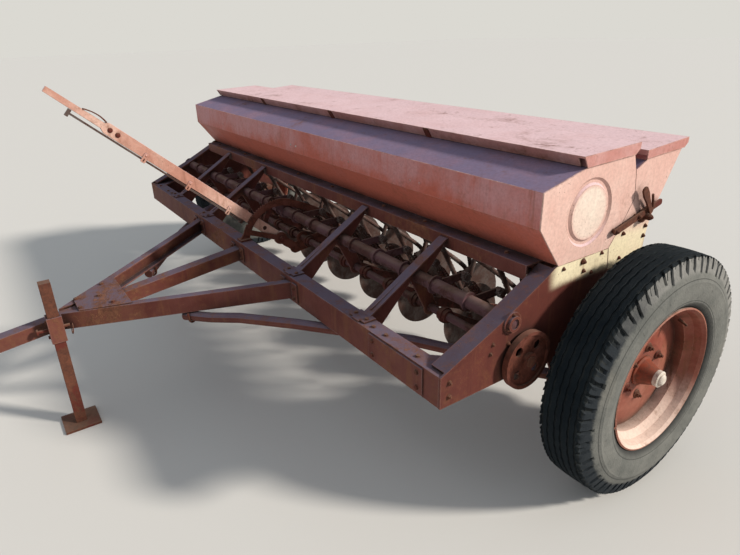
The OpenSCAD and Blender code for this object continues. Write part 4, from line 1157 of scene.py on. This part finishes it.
def lever_trim():
    """Rivets, rod guides and hoop of the hand lever, and the nuts of its pivot."""
    build = Bolts(9)
    for along in (930, 965):
        for side in (-1, 1):
            round_head(build, on_lever(side * 6, along, 0), (side, 0, 0), 0.011)
    for along in (330, 560, 790):
        guide = axes(on_lever(6, along, -22), (1, 0, 0), LEVER_UP)
        plate(build, rounded(0.022, 0.044, 0.006), 0.004, guide, look=1)
        rod = on_lever(0, along, -34 + 4 * (along - 246) / 894)
        loop = arc(rod, along_x(GUIDE_R), LEVER_UP * GUIDE_R, 20)
        build.add(*tube(loop, 0.0028, 6))
        round_head(build, on_lever(10, along, -10), (1, 0, 0), 0.0055, 1)
    build.add(*grip_hoop())
    build.piece("lever_rivets", "hand_lever", ["cast", "lever"])
    ends = Bolts(10)
    for x, out in ((0.0183, 1), (-0.0103, -1)):
        ends.bolt(LEVER_PIVOT + along_x(x), (out, 0, 0), 0.017, 0.004)
    ends.piece("lever_pivot_nuts", "chassis", ["cast"])


def opener_trim():
    """Hub bolts of the blades, rivets of the boots and nuts of the rods' pins."""
    build = Bolts(12)
    for i in range(ROWS):
        x = row_x(i)
        y = BOOT_Y[i % 2]
        build.bolt(at_axle(x + 0.0483, y + 0.005, 0.34), (1, 0, 0), 0.013, 0.006)
        for sign in (-1, 1):
            out = (sign, 0, 0)
            for z in (0.378, 0.402):
                round_head(build, at_axle(x + sign * BOOT_HALF, y - 0.038, z), out, 0.0085)
            round_head(build, at_axle(x + sign * BOOT_HALF, y + 0.028, 0.42), out, 0.0075)
        build.bolt(ROD_PIN + along_x(x + 0.038), (1, 0, 0), 0.0105)
    build.piece("opener_bolts", "openers", ["iron"])


# Stage

FLOOR_HALF = 60
SKY = (0.86, 0.93, 1.0)
SKY_STRENGTH = 0.44
BACKDROP = (0.708, 0.693, 0.645)

# Suns: strength, spread in degrees, the way to the sun, and colour
SUNS = {
    "key": (4.3, 7, (0.66, 0.6, 0.52), (1.0, 0.93, 0.83)),
    "fill": (0.35, 60, (-0.35, -0.75, 0.55), (1.0, 0.98, 0.95)),
}

# The camera fitted to the photograph: its lens in millimetres, its place, and its turns in radians
VIEW_LENS = 27.72
VIEW_FROM = at_axle(2.6126, -1.8024, 1.6327)
VIEW_YAW = 0.973
VIEW_PITCH = 0.412
VIEW_ROLL = -0.0258


def floor():
    """A pale floor, wide enough to meet the backdrop."""
    mesh = bpy.data.meshes.new("floor")
    corners = ((-1, -1), (1, -1), (1, 1), (-1, 1))
    mesh.from_pydata([(x * FLOOR_HALF, y * FLOOR_HALF, 0) for x, y in corners], [], [(0, 1, 2, 3)])
    mesh.materials.append(Shader("floor_pale").made(Base_Color=(0.62, 0.61, 0.59), Roughness=0.95))
    plane = bpy.data.objects.new("floor", mesh)
    bpy.context.scene.collection.objects.link(plane)


def sky():
    """Cool light from all round, and a pale backdrop."""
    world = bpy.data.worlds.new("studio")
    world.use_nodes = True
    tree = world.node_tree
    light = tree.nodes["Background"]
    light.inputs[0].default_value = (*SKY, 1.0)
    light.inputs[1].default_value = SKY_STRENGTH
    seen = tree.nodes.new("ShaderNodeBackground")
    seen.inputs[0].default_value = (*BACKDROP, 1.0)
    rays = tree.nodes.new("ShaderNodeLightPath")
    mix = tree.nodes.new("ShaderNodeMixShader")
    tree.links.new(rays.outputs["Is Camera Ray"], mix.inputs[0])
    tree.links.new(light.outputs[0], mix.inputs[1])
    tree.links.new(seen.outputs[0], mix.inputs[2])
    tree.links.new(mix.outputs[0], tree.nodes["World Output"].inputs["Surface"])
    bpy.context.scene.world = world


def suns():
    """A warm sun from the right and a weak broad light from the front."""
    for name, (strength, spread, towards, tint) in SUNS.items():
        lamp = bpy.data.lights.new(name, "SUN")
        lamp.energy = strength
        lamp.angle = math.radians(spread)
        lamp.color = tint
        obj = bpy.data.objects.new(name, lamp)
        obj.rotation_euler = Vector(towards).to_track_quat("Z", "Y").to_euler()
        bpy.context.scene.collection.objects.link(obj)


def camera():
    """The camera that was fitted to the photograph's straight edges."""
    data = bpy.data.cameras.new("view")
    data.sensor_width = 36
    data.lens = VIEW_LENS
    data.clip_end = 200
    obj = bpy.data.objects.new("view", data)
    obj.matrix_world = (Matrix.Translation(VIEW_FROM) @ Matrix.Rotation(VIEW_YAW, 4, "Z")
                        @ Matrix.Rotation(math.pi / 2 - VIEW_PITCH, 4, "X")
                        @ Matrix.Rotation(VIEW_ROLL, 4, "Z"))
    bpy.context.scene.collection.objects.link(obj)
    bpy.context.scene.camera = obj


def soften(obj):
    """Eases an object's sharp edges."""
    obj.modifiers.new("weld", "WELD").merge_threshold = 0.00001
    bevel = obj.modifiers.new("soft_edges", "BEVEL")
    bevel.width = 0.0014
    bevel.segments = 2
    bevel.limit_method = "ANGLE"
    bevel.angle_limit = math.radians(40)
    bevel.harden_normals = True


def dress_nodes():
    """Gives each shown node its finish, and eases the edges of the painted ones."""
    for look, names in NODE_LOOKS.items():
        for name in names:
            obj = nodes[name]
            obj.data.materials.clear()
            obj.data.materials.append(MATS[look])
            if look in SOFTENED:
                soften(obj)


bpy.context.scene.view_settings.view_transform = "Standard"
floor()
sky()
suns()
camera()
dress_nodes()
for side_name, side_sign in SIDES.items():
    tyre(side_name, side_sign)
    wheel_trim(side_name, side_sign)
frame_trim()
feed_control()
hinge_leaves()
lid_clasps()
box_rivets()
lever_trim()
opener_trim()
springs()
ribbon_tubes("seed_tube_ribbons", "seed_tubes", SEED_CUP, -TUBE_SPLIT)
ribbon_tubes("fertiliser_tube_ribbons", "fertiliser_tubes", FERTILISER_CUP, TUBE_SPLIT)
